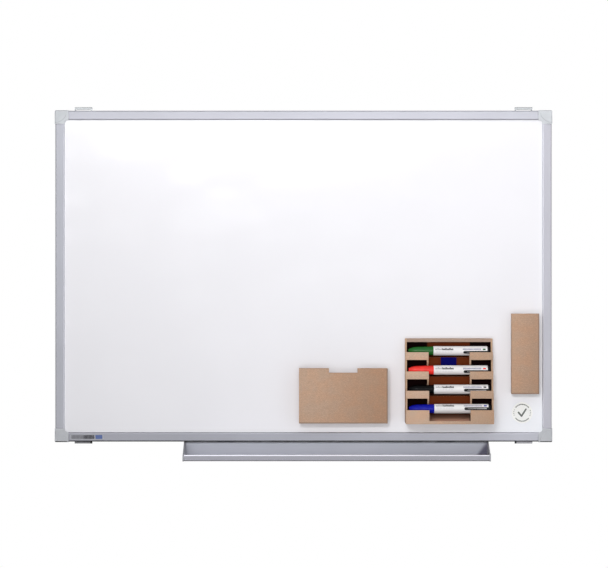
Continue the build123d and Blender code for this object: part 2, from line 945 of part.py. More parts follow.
def make_marker(colour, tier):
    """One marker: cap, barrel, end plug, and the ink core with its nib."""
    x = rack_x - marker_length / 2
    y = off_board(axis_distance(tier))
    z = axis_z(tier)
    nose_start = cap_taper
    holder_start = nose_start - nib_holder_length
    nib_start = holder_start - nib_reach
    bore_start = cap_length + barrel_shoulder
    plug_start = marker_length - plug_flange
    spigot_start = plug_start - plug_spigot
    nib_bore = nib_radius + core_gap
    barrel_bore = marker_radius - marker_wall

    with BuildPart() as cap:
        with BuildSketch(Plane(origin=(x, y, z), x_dir=(1, 0, 0), z_dir=(0, -1, 0))):
            with BuildLine():
                Line((0, 0), (0, cap_tip_radius))
                ThreePointArc(
                    (0, cap_tip_radius),
                    (cap_taper_mid, cap_taper_mid_radius),
                    (cap_taper, cap_shoulder_radius),
                )
                Polyline(
                    (cap_taper, cap_shoulder_radius),
                    (cap_length, cap_mouth_radius),
                    (cap_length, cap_bore_radius),
                    (nose_start - core_gap, cap_bore_radius),
                    (nose_start - core_gap, cap_nib_bore_radius),
                    (cap_tip_wall, cap_nib_bore_radius),
                    (cap_tip_wall, 0),
                    (0, 0),
                )
            make_face()
        revolve(axis=Axis((x, y, z), (1, 0, 0)))
    save(cap, f"marker_{colour}_cap")

    with BuildPart() as barrel:
        turned(
            [
                (holder_start, nib_bore),
                (holder_start, nib_holder_radius),
                (nose_start, nib_holder_radius),
                (nose_start, nose_radius),
                (cap_length, nose_radius),
                (cap_length, marker_radius),
                (plug_start, marker_radius),
                (plug_start, barrel_bore),
                (bore_start, barrel_bore),
                (bore_start, nib_bore),
            ],
            x,
            y,
            z,
        )
        rims = barrel.edges().filter_by(GeomType.CIRCLE).filter_by(
            lambda edge: abs(edge.radius - marker_radius) < marker_wall / 2
        )
        fillet(rims, radius=barrel_edge_radius)
    save(barrel, f"marker_{colour}_barrel")

    with BuildPart() as plug:
        turned(
            [
                (spigot_start, 0),
                (spigot_start, barrel_bore - core_gap),
                (plug_start, barrel_bore - core_gap),
                (plug_start, plug_radius),
                (marker_length, plug_radius),
                (marker_length, 0),
            ],
            x,
            y,
            z,
        )
        fillet(plug.edges().filter_by(GeomType.CIRCLE).sort_by(Axis.X)[-1], radius=plug_edge_radius)
    save(plug, f"marker_{colour}_plug")

    with BuildPart() as ink_core:
        turned(
            [
                (nib_start, 0),
                (nib_start, nib_radius),
                (bore_start, nib_radius),
                (bore_start, barrel_bore - core_gap),
                (spigot_start, barrel_bore - core_gap),
                (spigot_start, 0),
            ],
            x,
            y,
            z,
        )
    save(ink_core, f"marker_{colour}_ink_core")


for tier, colour in enumerate(("green", "red", "black", "blue")):
    make_marker(colour, tier)


# Eraser

eraser_span_x = (eraser_x - eraser_width / 2, eraser_x + eraser_width / 2)
eraser_span_z = (eraser_z - eraser_height / 2, eraser_z + eraser_height / 2)
pad_front = slide_gap + eraser_pad_thickness
block_front = pad_front + eraser_block_thickness
eraser_magnet_z = [eraser_z + side * (eraser_height / 2 - eraser_magnet_inset) for side in sides]

with BuildPart() as eraser_pad:
    block(
        (eraser_span_x[0] + eraser_pad_inset, eraser_span_x[1] - eraser_pad_inset),
        (off_board(slide_gap), off_board(pad_front)),
        (eraser_span_z[0] + eraser_pad_inset, eraser_span_z[1] - eraser_pad_inset),
    )
save(eraser_pad, "eraser_pad")

with BuildPart() as eraser_block:
    block(eraser_span_x, (off_board(pad_front), off_board(block_front)), eraser_span_z)
    block(
        (eraser_span_x[0] + eraser_wall, eraser_span_x[1] - eraser_wall),
        (off_board(pad_front + eraser_base), off_board(block_front)),
        (eraser_span_z[0] + eraser_wall, eraser_span_z[1] - eraser_wall),
        mode=Mode.SUBTRACT,
    )
    for z in eraser_magnet_z:
        disc(
            eraser_x,
            z,
            off_board(pad_front),
            off_board(pad_front + eraser_magnet_thickness),
            eraser_magnet_radius + magnet_pocket_gap,
            mode=Mode.SUBTRACT,
        )
save(eraser_block, "eraser_block")

with BuildPart() as eraser_magnets:
    for z in eraser_magnet_z:
        disc(
            eraser_x,
            z,
            off_board(pad_front),
            off_board(pad_front + eraser_magnet_thickness),
            eraser_magnet_radius,
        )
save(eraser_magnets, "eraser_magnets")

with BuildPart() as eraser_cover:
    block(
        eraser_span_x,
        (off_board(block_front), off_board(block_front + fibreboard)),
        eraser_span_z,
    )
save(eraser_cover, "eraser_cover")
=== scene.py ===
"""Dresses a wall whiteboard, its pen tray and its magnetic accessories, and lights them."""

import logging
import math
from collections.abc import Iterator
from contextlib import contextmanager
from dataclasses import dataclass
from enum import Enum
from functools import cache

import bpy
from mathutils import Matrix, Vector


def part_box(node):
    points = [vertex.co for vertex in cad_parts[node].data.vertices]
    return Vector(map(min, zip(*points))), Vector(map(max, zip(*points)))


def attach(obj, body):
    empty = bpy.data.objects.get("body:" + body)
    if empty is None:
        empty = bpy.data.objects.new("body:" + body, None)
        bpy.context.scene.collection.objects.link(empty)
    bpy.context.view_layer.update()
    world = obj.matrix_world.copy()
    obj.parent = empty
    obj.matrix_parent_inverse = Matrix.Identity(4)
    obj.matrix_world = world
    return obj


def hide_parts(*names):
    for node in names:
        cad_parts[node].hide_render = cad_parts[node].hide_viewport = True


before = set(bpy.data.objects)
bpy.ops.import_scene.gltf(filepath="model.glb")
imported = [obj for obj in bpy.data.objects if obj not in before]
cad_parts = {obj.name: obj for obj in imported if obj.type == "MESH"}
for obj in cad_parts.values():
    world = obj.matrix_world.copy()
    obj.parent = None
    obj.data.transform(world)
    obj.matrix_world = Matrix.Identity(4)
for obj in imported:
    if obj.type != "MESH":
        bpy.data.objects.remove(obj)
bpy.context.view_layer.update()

log = logging.getLogger("whiteboard")

MM = 0.001
Colour = tuple[float, float, float]
Number = "Socket | float"
Patch = tuple[float, float, float, float]

IMAGE_WIDTH = 608
IMAGE_HEIGHT = 568


class Axis(Enum):
    """An axis of the frame: X to the right, Y to the wall, Z up."""

    X = 0
    Y = 1
    Z = 2


def dimmed(colour: Colour, share: float) -> Colour:
    """A colour times a share."""
    return tuple(share * c for c in colour)


def tinted(colour: Colour, gains: Colour) -> Colour:
    """A colour with each part times its own gain."""
    return tuple(c * gain for c, gain in zip(colour, gains))


# Shader maths


class Socket:
    """A shader socket that sums, products and comparisons can be written with."""

    def __init__(self, graph: "Graph", link: bpy.types.NodeSocket) -> None:
        """Wraps one output of a node in a graph."""
        self.graph = graph
        self.link = link

    def __add__(self, other: Number) -> "Socket":
        """Adds."""
        return self.graph.maths("ADD", self, other)

    __radd__ = __add__

    def __sub__(self, other: Number) -> "Socket":
        """Subtracts."""
        return self.graph.maths("SUBTRACT", self, other)

    def __rsub__(self, other: Number) -> "Socket":
        """Subtracts from a number."""
        return self.graph.maths("SUBTRACT", other, self)

    def __mul__(self, other: Number) -> "Socket":
        """Multiplies."""
        return self.graph.maths("MULTIPLY", self, other)

    __rmul__ = __mul__

    def __truediv__(self, other: Number) -> "Socket":
        """Divides."""
        return self.graph.maths("DIVIDE", self, other)

    def __pow__(self, other: Number) -> "Socket":
        """Raises to a power."""
        return self.graph.maths("POWER", self, other)

    def __mod__(self, other: Number) -> "Socket":
        """What is left after whole steps, never negative."""
        return self.graph.maths("FLOORED_MODULO", self, other)

    def __abs__(self) -> "Socket":
        """Drops the sign."""
        return self.graph.maths("ABSOLUTE", self)

    def __lt__(self, other: Number) -> "Socket":
        """1 where it is less, else 0."""
        return self.graph.maths("LESS_THAN", self, other)

    def __gt__(self, other: Number) -> "Socket":
        """1 where it is more, else 0."""
        return self.graph.maths("GREATER_THAN", self, other)

    def between(self, low: Number, high: Number) -> "Socket":
        """1 from low to high, else 0."""
        return (self > low) * (self < high)

    def dashes(self, pitch: float, width: float) -> "Socket":
        """1 on marks of one width that repeat at a pitch, else 0."""
        return self % pitch < width

    def at_least(self, other: Number) -> "Socket":
        """The larger of the two."""
        return self.graph.maths("MAXIMUM", self, other)

    def at_most(self, other: Number) -> "Socket":
        """The smaller of the two."""
        return self.graph.maths("MINIMUM", self, other)

    def ramp(self, low: float, high: float) -> "Socket":
        """Rises smoothly from 0 at low to 1 at high, and falls where low is the larger.

        Args:
            low: where it is 0.
            high: where it is 1.

        Returns:
            The ramp.
        """
        made = self.graph.node(
            "ShaderNodeMapRange",
            {"interpolation_type": "SMOOTHSTEP"},
            {"Value": self, "From Min": low, "From Max": high},
        )
        return self.graph.output(made, "Result")


class Graph:
    """The node tree of a material or a world."""

    def __init__(self, owner: bpy.types.ID) -> None:
        """Opens the tree of a material or a world."""
        owner.use_nodes = True
        self.tree = owner.node_tree

    def node(
        self, kind: str, settings: dict | None = None, sockets: dict | None = None
    ) -> bpy.types.Node:
        """Adds a node.

        Args:
            kind: the node's type.
            settings: its properties, set first; stops holds a ramp's (place, colour) pairs.
            sockets: values or links for its inputs, by name or identifier.

        Returns:
            The node.
        """
        made = self.tree.nodes.new(kind)
        for name, value in (settings or {}).items():
            if name == "stops":
                self._set_stops(made.color_ramp, value)
            else:
                setattr(made, name, value)
        for name, value in (sockets or {}).items():
            self.feed(made, name, value)
        return made

    @staticmethod
    def _set_stops(ramp: bpy.types.ColorRamp, stops: list[tuple[float, Colour]]) -> None:
        """Gives a colour ramp its stops, of which it starts with two.

        Args:
            ramp: the ramp.
            stops: its places and colours.
        """
        while len(ramp.elements) < len(stops):
            ramp.elements.new(1.0)
        for element, (place, colour) in zip(ramp.elements, stops):
            element.position = place
            element.color = (*colour, 1.0)

    @staticmethod
    def _find(sockets: bpy.types.bpy_prop_collection, name: str) -> bpy.types.NodeSocket:
        """The socket with that identifier, or else with that name."""
        exact = [s for s in sockets if s.identifier == name]
        return (exact or [s for s in sockets if s.name == name])[0]

    def feed(self, node: bpy.types.Node, name: str, value: "Socket | Colour | float") -> None:
        """Links a socket to an input, or sets a constant on it.

        Args:
            node: the node that takes the value.
            name: its input, by name or identifier.
            value: what it takes.
        """
        target = self._find(node.inputs, name)
        if isinstance(value, Socket):
            self.tree.links.new(value.link, target)
        elif target.type == "RGBA":
            target.default_value = (*value, 1.0)
        else:
            target.default_value = value

    def output(self, node: bpy.types.Node, name: str) -> Socket:
        """One output of a node, by name or identifier."""
        return Socket(self, self._find(node.outputs, name))

    def maths(self, operation: str, first: Number, second: Number = 0.0) -> Socket:
        """One Math node.

        Args:
            operation: what it does.
            first: its first value.
            second: its second value, where it has one.

        Returns:
            Its result.
        """
        made = self.node(
            "ShaderNodeMath", {"operation": operation}, {"Value": first, "Value_001": second}
        )
        return self.output(made, "Value")

    def length(self, first: Socket, second: Socket) -> Socket:
        """How far a point with these two coordinates is from the origin."""
        return (first * first + second * second) ** 0.5

    def mix(self, factor: Number, first: "Socket | Colour", second: "Socket | Colour") -> Socket:
        """Goes from the first colour to the second.

        Args:
            factor: 0 for the first, 1 for the second.
            first: a colour.
            second: another colour.

        Returns:
            The mixed colour.
        """
        made = self.node(
            "ShaderNodeMix",
            {"data_type": "RGBA"},
            {"Factor_Float": factor, "A_Color": first, "B_Color": second},
        )
        return self.output(made, "Result_Color")

    def toned(self, tone: Number, colour: Colour, share: float) -> Socket:
        """Goes from a share of a colour, where the tone is 0, to the whole colour, where it is 1."""
        return self.mix(tone, dimmed(colour, share), colour)

    def position(self, centre: Vector | None = None, scale: Colour = (1, 1, 1)) -> Socket:
        """The place on the piece, in metres.

        Args:
            centre: the point that counts as zero.
            scale: how much a pattern is packed along each axis.

        Returns:
            The vector.
        """
        place = self.output(self.node("ShaderNodeTexCoord"), "Object")
        shift = [-c * s for c, s in zip(centre or (0, 0, 0), scale)]
        sockets = {"Vector": place, "Location": shift, "Scale": scale}
        return self.output(self.node("ShaderNodeMapping", None, sockets), "Vector")

    def split(self, vector: Socket) -> tuple[Socket, Socket, Socket]:
        """A vector's three parts."""
        made = self.node("ShaderNodeSeparateXYZ", None, {"Vector": vector})
        return self.output(made, "X"), self.output(made, "Y"), self.output(made, "Z")

    def facing(self, axis: Axis = Axis.Z) -> Socket:
        """How far the surface faces along an axis: 1 along it, 0 across, -1 against it."""
        return self.split(self.output(self.node("ShaderNodeTexCoord"), "Normal"))[axis.value]

    def noise(self, scale: float, detail: float = 2.0, packing: Colour = (1, 1, 1)) -> Socket:
        """Soft noise around a half, with so many blobs to the metre, packed along each axis."""
        sockets = {"Vector": self.position(scale=packing), "Scale": scale, "Detail": detail}
        return self.output(self.node("ShaderNodeTexNoise", None, sockets), "Fac")

    def cells(self, scale: float, packing: Colour = (1, 1, 1)) -> bpy.types.Node:
        """A Voronoi node, whose outputs are picked by the caller."""
        sockets = {"Vector": self.position(scale=packing), "Scale": scale}
        return self.node("ShaderNodeTexVoronoi", None, sockets)

    def wear(self, sockets: dict, height: Socket | None = None, depth: float = 0.0) -> None:
        """Feeds the material's own shader.

        Args:
            sockets: what goes into it, by input.
            height: a relief, where it has one.
            depth: how high the relief is, in metres.
        """
        shader = self.tree.nodes["Principled BSDF"]
        for name, value in sockets.items():
            self.feed(shader, name, value)
        if height is not None:
            relief = self.node("ShaderNodeBump", None, {"Height": height, "Distance": depth})
            self.feed(shader, "Normal", self.output(relief, "Normal"))


# Finishes


@dataclass(frozen=True)
class Finish:
    """A surface finish. Finishes that are equal share one material."""

    name: str

    def paint(self, graph: Graph) -> None:
        """Draws the finish in a material's tree."""
        raise NotImplementedError


@cache
def material_of(finish: Finish) -> bpy.types.Material:
    """Builds a finish's material once, however many pieces wear it.

    Args:
        finish: the finish.

    Returns:
        Its material.
    """
    material = bpy.data.materials.new(finish.name)
    finish.paint(Graph(material))
    return material


@dataclass(frozen=True)
class Enamel(Finish):
    """White enamel on steel: glassy, with the faint ripple that firing leaves."""

    colour: Colour = (0.835, 0.828, 0.868)
    # painted light: the whiter, bluer colour that the lower right of the board is lifted to
    painted_light_colour: Colour = (0.895, 0.912, 0.965)
    cloud_share: float = 0.985
    roughness: float = 0.17
    wipe_roughness: float = 0.09
    relief: float = 0.02 * MM

    def paint(self, graph: Graph) -> None:
        """White with a breath of cloud, painted light low at the right, and wipe marks in the gloss.

        Args:
            graph: the material's tree.
        """
        across, _, up = graph.split(graph.position())
        # painted light patch towards the lower right of the board
        painted_light_patch = up.ramp(-0.13, -0.27) * across.ramp(-0.05, 0.38)
        cloud = graph.noise(6.0)
        wipes = graph.noise(28.0, 5.0, (0.35, 1.0, 1.0))
        ripple = graph.noise(420.0, 1.0)
        white = graph.toned(cloud.ramp(0.35, 0.65), self.colour, self.cloud_share)
        sockets = {
            "Base Color": graph.mix(painted_light_patch, white, self.painted_light_colour),
            "Roughness": self.roughness + self.wipe_roughness * wipes.ramp(0.45, 0.75),
        }
        graph.wear(sockets, ripple, self.relief)


@dataclass(frozen=True)
class AnodisedAluminium(Finish):
    """Drawn aluminium with a satin anodised skin. The die's lines run along the profile.

    On the faces that turn down past turn it shows a painted underside colour: painted shade,
    lighter where it stands for painted light under the top rail. It shows painted light on the
    side that inward points to, 1 to the right and -1 to the left. From one end of the profile to
    the other its own colour goes to far times that colour, a painted light gradient.
    """

    along: Axis = Axis.X
    colour: Colour = (0.335, 0.339, 0.373)
    roughness: float = 0.56
    # painted underside colour: painted shade on faces that turn down, painted light where set lighter
    painted_underside: Colour = (0.020, 0.021, 0.026)
    turn: float = -0.15
    turn_blur: float = 0.15
    # painted light gradient: the far end's colour is this times the near end's
    far: float = 1.0
    half_length: float = 0.45
    inward: float = 0.0
    # painted light on the side that inward points to
    painted_side_light: Colour = (0.57, 0.58, 0.63)
    dark_share: float = 0.90
    stretch: float = 0.004
    relief: float = 0.03 * MM

    def skin(self, graph: Graph) -> Socket:
        """The colour of the faces that don't face down, with painted light along the profile and on
        the inward side.

        Args:
            graph: the material's tree.

        Returns:
            The colour.
        """
        drift = graph.noise(9.0)
        tone = (0.6 * self._lines(graph) + 0.4 * drift).ramp(0.3, 0.7)
        near, away = (
            graph.toned(tone, dimmed(self.colour, gain), self.dark_share)
            for gain in (1.0, self.far)
        )
        along = graph.split(graph.position())[self.along.value]
        # painted light gradient along the profile
        light_along = graph.mix(along.ramp(-self.half_length, self.half_length), near, away)
        return graph.mix((graph.facing(Axis.X) * self.inward).ramp(0.15, 0.6), light_along, self.painted_side_light)

    def _lines(self, graph: Graph) -> Socket:
        """The die's lines."""
        scale = tuple(self.stretch if axis is self.along else 1.0 for axis in Axis)
        return graph.noise(2600.0, 3.0, scale)

    def paint(self, graph: Graph) -> None:
        """Fine lines along the profile, a faint broad drift, and a painted underside colour.

        Args:
            graph: the material's tree.
        """
        lines = self._lines(graph)
        grain = graph.noise(5200.0, 1.0)
        down = graph.facing().ramp(self.turn, self.turn - self.turn_blur)
        sockets = {
            "Base Color": graph.mix(down, self.skin(graph), self.painted_underside),
            "Metallic": 1.0,
            "Roughness": self.roughness + 0.10 * (lines - 0.5) + 0.05 * grain,
        }
        graph.wear(sockets, 0.7 * lines + 0.3 * grain, self.relief)


@dataclass(frozen=True)
class TrayAluminium(AnodisedAluminium):
    """The tray's aluminium: a painted highlight where it faces up, painted shade on the lip's outer
    face, and a painted shadow inside its right end.
    """

    # painted highlight on the faces that look up
    bright: Colour = (0.90, 0.908, 0.97)
    # painted shade on the lip's outer face
    lip_face_shade: Colour = (0.208, 0.208, 0.232)
    shade: Colour = (0.06, 0.055, 0.085)
    low: Colour = (0.0, 0.0, 0.0)
    high: Colour = (0.0, 0.0, 0.0)
    lip_depth: float = 3.6 * MM
    blur: float = 0.5 * MM
    shade_slope: float = 0.75
    shade_blur: float = 5.0 * MM
    shade_strength: float = 0.85

    def skin(self, graph: Graph) -> Socket:
        """The rail's colour with a painted shadow in its right end, painted shade on the lip, and a
        painted highlight on top.

        Args:
            graph: the material's tree.

        Returns:
            The colour.
        """
        across, deep, up = graph.split(graph.position())
        start = across - self.high[0] + self.shade_slope * (self.high[2] - up)
        cast = start.ramp(-self.shade_blur, self.shade_blur) * (graph.facing(Axis.Y) < 0.5)
        behind = graph.mix(cast * self.shade_strength, super().skin(graph), self.shade)
        lip_y = self.low[1] + self.lip_depth
        face = graph.mix(deep.ramp(lip_y + self.blur, lip_y), behind, self.lip_face_shade)
        return graph.mix(graph.facing().ramp(0.1, 0.6), face, self.bright)


@dataclass(frozen=True)
class SheetSteel(Finish):
    """Galvanised steel with its faint crystal pattern."""

    colour: Colour = (0.56, 0.57, 0.58)
    roughness: float = 0.42
    crystals: float = 130.0
    dark_share: float = 0.86
    relief: float = 0.02 * MM

    def paint(self, graph: Graph) -> None:
        """Crystals that differ a little in tone and gloss, under fine scratches.

        Args:
            graph: the material's tree.
        """
        cells = graph.cells(self.crystals)
        tone = graph.split(graph.output(cells, "Color"))[0]
        scratches = graph.noise(1800.0, 3.0, (1.0, 1.0, 0.05))
        sockets = {
            "Base Color": graph.toned(tone, self.colour, self.dark_share),
            "Metallic": 1.0,
            "Roughness": self.roughness + 0.12 * (tone - 0.5) + 0.06 * scratches,
        }
        graph.wear(sockets, scratches, self.relief)


@dataclass(frozen=True)
class Nickel(Finish):
    """Bright nickel plate on a magnet, scuffed by handling."""

    colour: Colour = (0.66, 0.645, 0.60)
    scuffed: Colour = (0.5, 0.49, 0.46)
    relief: float = 0.01 * MM

    def paint(self, graph: Graph) -> None:
        """A warm bright metal with soft scuffs.

        Args:
            graph: the material's tree.
        """
        scuffs = graph.noise(700.0, 5.0)
        sockets = {
            "Base Color": graph.mix(scuffs.ramp(0.3, 0.8), self.colour, self.scuffed),
            "Metallic": 1.0,
            "Roughness": 0.2 + 0.25 * scuffs.ramp(0.4, 0.7),
        }
        graph.wear(sockets, scuffs, self.relief)


@dataclass(frozen=True)
class MouldedPlastic(Finish):
    """Moulded plastic with the fine grain of its tool, and painted shade on the faces that turn down.
    """

    colour: Colour = (0.6, 0.6, 0.6)
    roughness: float = 0.5
    gloss: float = 0.35
    dark_share: float = 0.93
    # painted shade: the faces that turn down take this share of the colour
    underside_shade_share: float = 0.12
    turn: float = -0.15
    turn_blur: float = 0.2
    relief: float = 0.03 * MM

    def paint(self, graph: Graph) -> None:
        """An even colour with faint flow marks over a fine grain, and painted shade on the faces that
        turn down.

        Args:
            graph: the material's tree.
        """
        flow = graph.noise(60.0, 3.0)
        grain = graph.noise(3200.0, 2.0)
        skin = graph.toned(flow.ramp(0.7, 0.35), self.colour, self.dark_share)
        down = graph.facing().ramp(self.turn, self.turn - self.turn_blur)
        sockets = {
            "Base Color": graph.mix(down, skin, dimmed(self.colour, self.underside_shade_share)),
            "Roughness": self.roughness + 0.12 * (grain - 0.5) + 0.05 * (flow - 0.5),
            "Specular IOR Level": self.gloss,
        }
        graph.wear(sockets, grain, self.relief)


@dataclass(frozen=True)
class Chipboard(Finish):
    """Pressed chips behind the steel."""

    dark: Colour = (0.24, 0.15, 0.08)
    brown: Colour = (0.42, 0.28, 0.16)
    pale: Colour = (0.58, 0.42, 0.26)
    relief: float = 0.2 * MM

    def paint(self, graph: Graph) -> None:
        """Chips of three tones.

        Args:
            graph: the material's tree.
        """
        cells = graph.cells(380.0, (1.0, 1.0, 0.45))
        tone = graph.split(graph.output(cells, "Color"))[1]
        stops = [(0.0, self.dark), (0.5, self.brown), (1.0, self.pale)]
        ramp = graph.node("ShaderNodeValToRGB", {"stops": stops}, {"Fac": tone})
        sockets = {"Base Color": graph.output(ramp, "Color"), "Roughness": 0.8 + 0.1 * tone}
        graph.wear(sockets, graph.output(cells, "Distance"), self.relief)


@dataclass(frozen=True)
class BackingFoil(Finish):
    """The thin grey sheet that closes the back."""

    colour: Colour = (0.40, 0.41, 0.42)
    dark_share: float = 0.8
    relief: float = 0.8 * MM

    def paint(self, graph: Graph) -> None:
        """Rolled streaks, soft blotches and the shallow waves of a glued sheet.

        Args:
            graph: the material's tree.
        """
        streaks = graph.noise(500.0, 4.0, (0.02, 1.0, 1.0))
        waves = graph.noise(14.0, 1.0)
        tone = (0.5 * streaks + 0.5 * waves).ramp(0.3, 0.7)
        sockets = {
            "Base Color": graph.toned(tone, self.colour, self.dark_share),
            "Metallic": 0.85,
            "Roughness": 0.5 + 0.12 * streaks,
        }
        graph.wear(sockets, 0.9 * waves + 0.02 * streaks, self.relief)


@dataclass(frozen=True)
class Fibreboard(Finish):
    """The pressed face of fibreboard: warm brown, mottled, with fine fibres.

    Its colour has the left gain at left and the right gain at right, places along X in metres,
    a painted light gradient across the board.
    """

    colour: Colour = (0.535, 0.344, 0.232)
    fleck: float = 0.16
    gloss: float = 0.12
    left: float = -1.0
    right: float = 1.0
    left_gain: Colour = (1.0, 1.0, 1.0)
    right_gain: Colour = (1.0, 1.0, 1.0)
    warm_gain: Colour = (1.03, 0.985, 0.95)
    grey_gain: Colour = (0.97, 1.0, 1.02)
    deep_share: float = 0.42
    light_share: float = 1.75
    relief: float = 0.06 * MM

    def _body(self, graph: Graph, gain: Colour) -> Socket:
        """The board's broad mottling.

        Args:
            graph: the material's tree.
            gain: what its colour is multiplied by.

        Returns:
            The colour.
        """
        cloud = graph.noise(40.0, 3.0)
        base = tinted(self.colour, gain)
        warm, grey = tinted(base, self.warm_gain), tinted(base, self.grey_gain)
        return graph.mix(cloud.ramp(0.35, 0.65), grey, warm)

    def skin(self, graph: Graph) -> Socket:
        """Broad mottling, fibres that lie along the sheet, and dark and pale flecks, over a painted
        light gradient across the board.

        Args:
            graph: the material's tree.

        Returns:
            The colour.
        """
        fibres, dust = self._fibres(graph)
        across = graph.split(graph.position())[0].ramp(self.left, self.right)
        left, right = (self._body(graph, gain) for gain in (self.left_gain, self.right_gain))
        body = graph.mix(across, left, right)
        deep = dimmed(self.colour, self.deep_share)
        light = tuple(min(1.0, part) for part in dimmed(self.colour, self.light_share))
        dark = graph.mix((fibres * dust).ramp(0.34, 0.16) * self.fleck * 2.0, body, deep)
        return graph.mix((fibres * dust).ramp(0.30, 0.44) * self.fleck * 1.6, dark, light)

    @staticmethod
    def _fibres(graph: Graph) -> tuple[Socket, Socket]:
        """Long fibres, and the dust between them."""
        fibres = graph.noise(1500.0, 5.0, (0.3, 1.0, 1.0))
        return fibres, graph.noise(3600.0, 2.0)

    def paint(self, graph: Graph) -> None:
        """The skin, matt and faintly fibrous.

        Args:
            graph: the material's tree.
        """
        fibres, dust = self._fibres(graph)
        sockets = {
            "Base Color": self.skin(graph),
            "Roughness": 0.72 + 0.16 * (fibres - 0.5),
            "Specular IOR Level": self.gloss,
        }
        graph.wear(sockets, 0.6 * fibres + 0.4 * dust, self.relief)


@dataclass(frozen=True)
class EdgeShadedFibreboard(Fibreboard):
    """Fibreboard with painted shade along its right edge and its lower one, whose Z is bottom."""

    bottom: float = -1.0
    # the colour of the painted shade along the right and lower edges
    brown: Colour = (0.30, 0.20, 0.145)
    reach: float = 2.6 * MM
    blur: float = 1.6 * MM

    def skin(self, graph: Graph) -> Socket:
        """The board's colour, with painted shade near the two edges.

        Args:
            graph: the material's tree.

        Returns:
            The colour.
        """
        across, _, up = graph.split(graph.position())
        side = across.ramp(self.right - self.reach, self.right - self.reach + self.blur)
        foot = up.ramp(self.bottom + self.reach, self.bottom + self.reach - self.blur)
        return graph.mix(side.at_least(foot), super().skin(graph), self.brown)


@dataclass(frozen=True)
class DarkFibreboard(Fibreboard):
    """Fibreboard painted dark for shade, with more painted shade behind the lips and painted light
    near foot, a place along Z.
    """

    # painted shade in the pockets behind the lips
    pocket_shade: Colour = (0.006, 0.002, 0.002)
    # painted light near the foot
    pale: Colour = (0.80, 0.46, 0.33)
    low: float = -1.0
    high: float = 1.0
    foot: float = -1.0
    foot_reach: float = 16.0 * MM
    blur: float = 3.0 * MM

    def skin(self, graph: Graph) -> Socket:
        """The board's colour between low and high along X, and the painted shade of the pockets
        beyond.

        Args:
            graph: the material's tree.

        Returns:
            The colour.
        """
        across, _, up = graph.split(graph.position())
        from_low = across.ramp(self.low, self.low + self.blur)
        inside = from_low * across.ramp(self.high, self.high - self.blur)
        shaded_board = graph.mix(inside, self.pocket_shade, super().skin(graph))
        near_foot = up.ramp(self.foot + self.foot_reach, self.foot)
        return graph.mix(near_foot * inside, shaded_board, self.pale)


@dataclass(frozen=True)
class CutEdge(Finish):
    """The sawn edge of fibreboard: looser and paler, in layers across the sheet."""

    across: Axis = Axis.Y
    colour: Colour = (0.60, 0.40, 0.27)
    squeeze: float = 0.12
    dark_share: float = 0.72
    relief: float = 0.12 * MM

    def paint(self, graph: Graph) -> None:
        """Layers across the sheet with open fibres between them.

        Args:
            graph: the material's tree.
        """
        scale = tuple(1.0 if axis is self.across else self.squeeze for axis in Axis)
        layers = graph.noise(2400.0, 4.0, scale)
        fibres = graph.noise(2600.0, 3.0)
        tone = (0.7 * layers + 0.3 * fibres).ramp(0.3, 0.62)
        sockets = {
            "Base Color": graph.toned(tone, self.colour, self.dark_share),
            "Roughness": 0.86,
            "Specular IOR Level": 0.1,
        }
        graph.wear(sockets, 0.5 * layers + 0.5 * fibres, self.relief)


@dataclass(frozen=True)
class Felt(Finish):
    """Pressed wool felt."""

    colour: Colour = (0.50, 0.49, 0.47)
    dark_share: float = 0.68
    relief: float = 0.3 * MM

    def paint(self, graph: Graph) -> None:
        """Crossing fibres with small tufts.

        Args:
            graph: the material's tree.
        """
        long_fibres = graph.noise(2200.0, 4.0, (0.25, 1.0, 1.0))
        cross_fibres = graph.noise(2200.0, 4.0, (1.0, 1.0, 0.25))
        tufts = graph.noise(480.0, 3.0)
        fuzz = 0.4 * long_fibres + 0.4 * cross_fibres + 0.2 * tufts
        sockets = {
            "Base Color": graph.toned(fuzz.ramp(0.36, 0.62), self.colour, self.dark_share),
            "Roughness": 0.95,
            "Sheen Weight": 0.35,
            "Sheen Roughness": 0.6,
        }
        graph.wear(sockets, fuzz, self.relief)


@dataclass(frozen=True)
class GlossPlastic(Finish):
    """Glossy coloured plastic, as on a marker's cap or a flat magnet."""

    colour: Colour = (0.5, 0.5, 0.5)
    roughness: float = 0.2
    gloss: float = 0.26
    dark_share: float = 0.86
    relief: float = 0.02 * MM

    def paint(self, graph: Graph) -> None:
        """A deep colour with faint swirls and hairline scuffs in the gloss.

        Args:
            graph: the material's tree.
        """
        swirl = graph.noise(90.0, 3.0)
        scuffs = graph.noise(1400.0, 4.0, (1.0, 0.2, 1.0))
        sockets = {
            "Base Color": graph.toned(swirl.ramp(0.35, 0.65), self.colour, self.dark_share),
            "Roughness": self.roughness + 0.12 * scuffs.ramp(0.5, 0.8),
            "Specular IOR Level": self.gloss,
        }
        graph.wear(sockets, swirl, self.relief)


@dataclass(frozen=True)
class InkCore(Finish):
    """The fibre core that holds the ink, and its nib."""

    colour: Colour = (0.1, 0.1, 0.1)
    pale_share: float = 1.5
    pale_lift: float = 0.04
    relief: float = 0.1 * MM

    def paint(self, graph: Graph) -> None:
        """Fibres along the core, soaked unevenly.

        Args:
            graph: the material's tree.
        """
        fibres = graph.noise(3000.0, 3.0, (0.05, 1.0, 1.0))
        pale = tuple(min(1.0, self.pale_share * c + self.pale_lift) for c in self.colour)
        sockets = {
            "Base Color": graph.mix(fibres.ramp(0.35, 0.7), self.colour, pale),
            "Roughness": 0.7 + 0.2 * fibres,
        }
        graph.wear(sockets, fibres, self.relief)


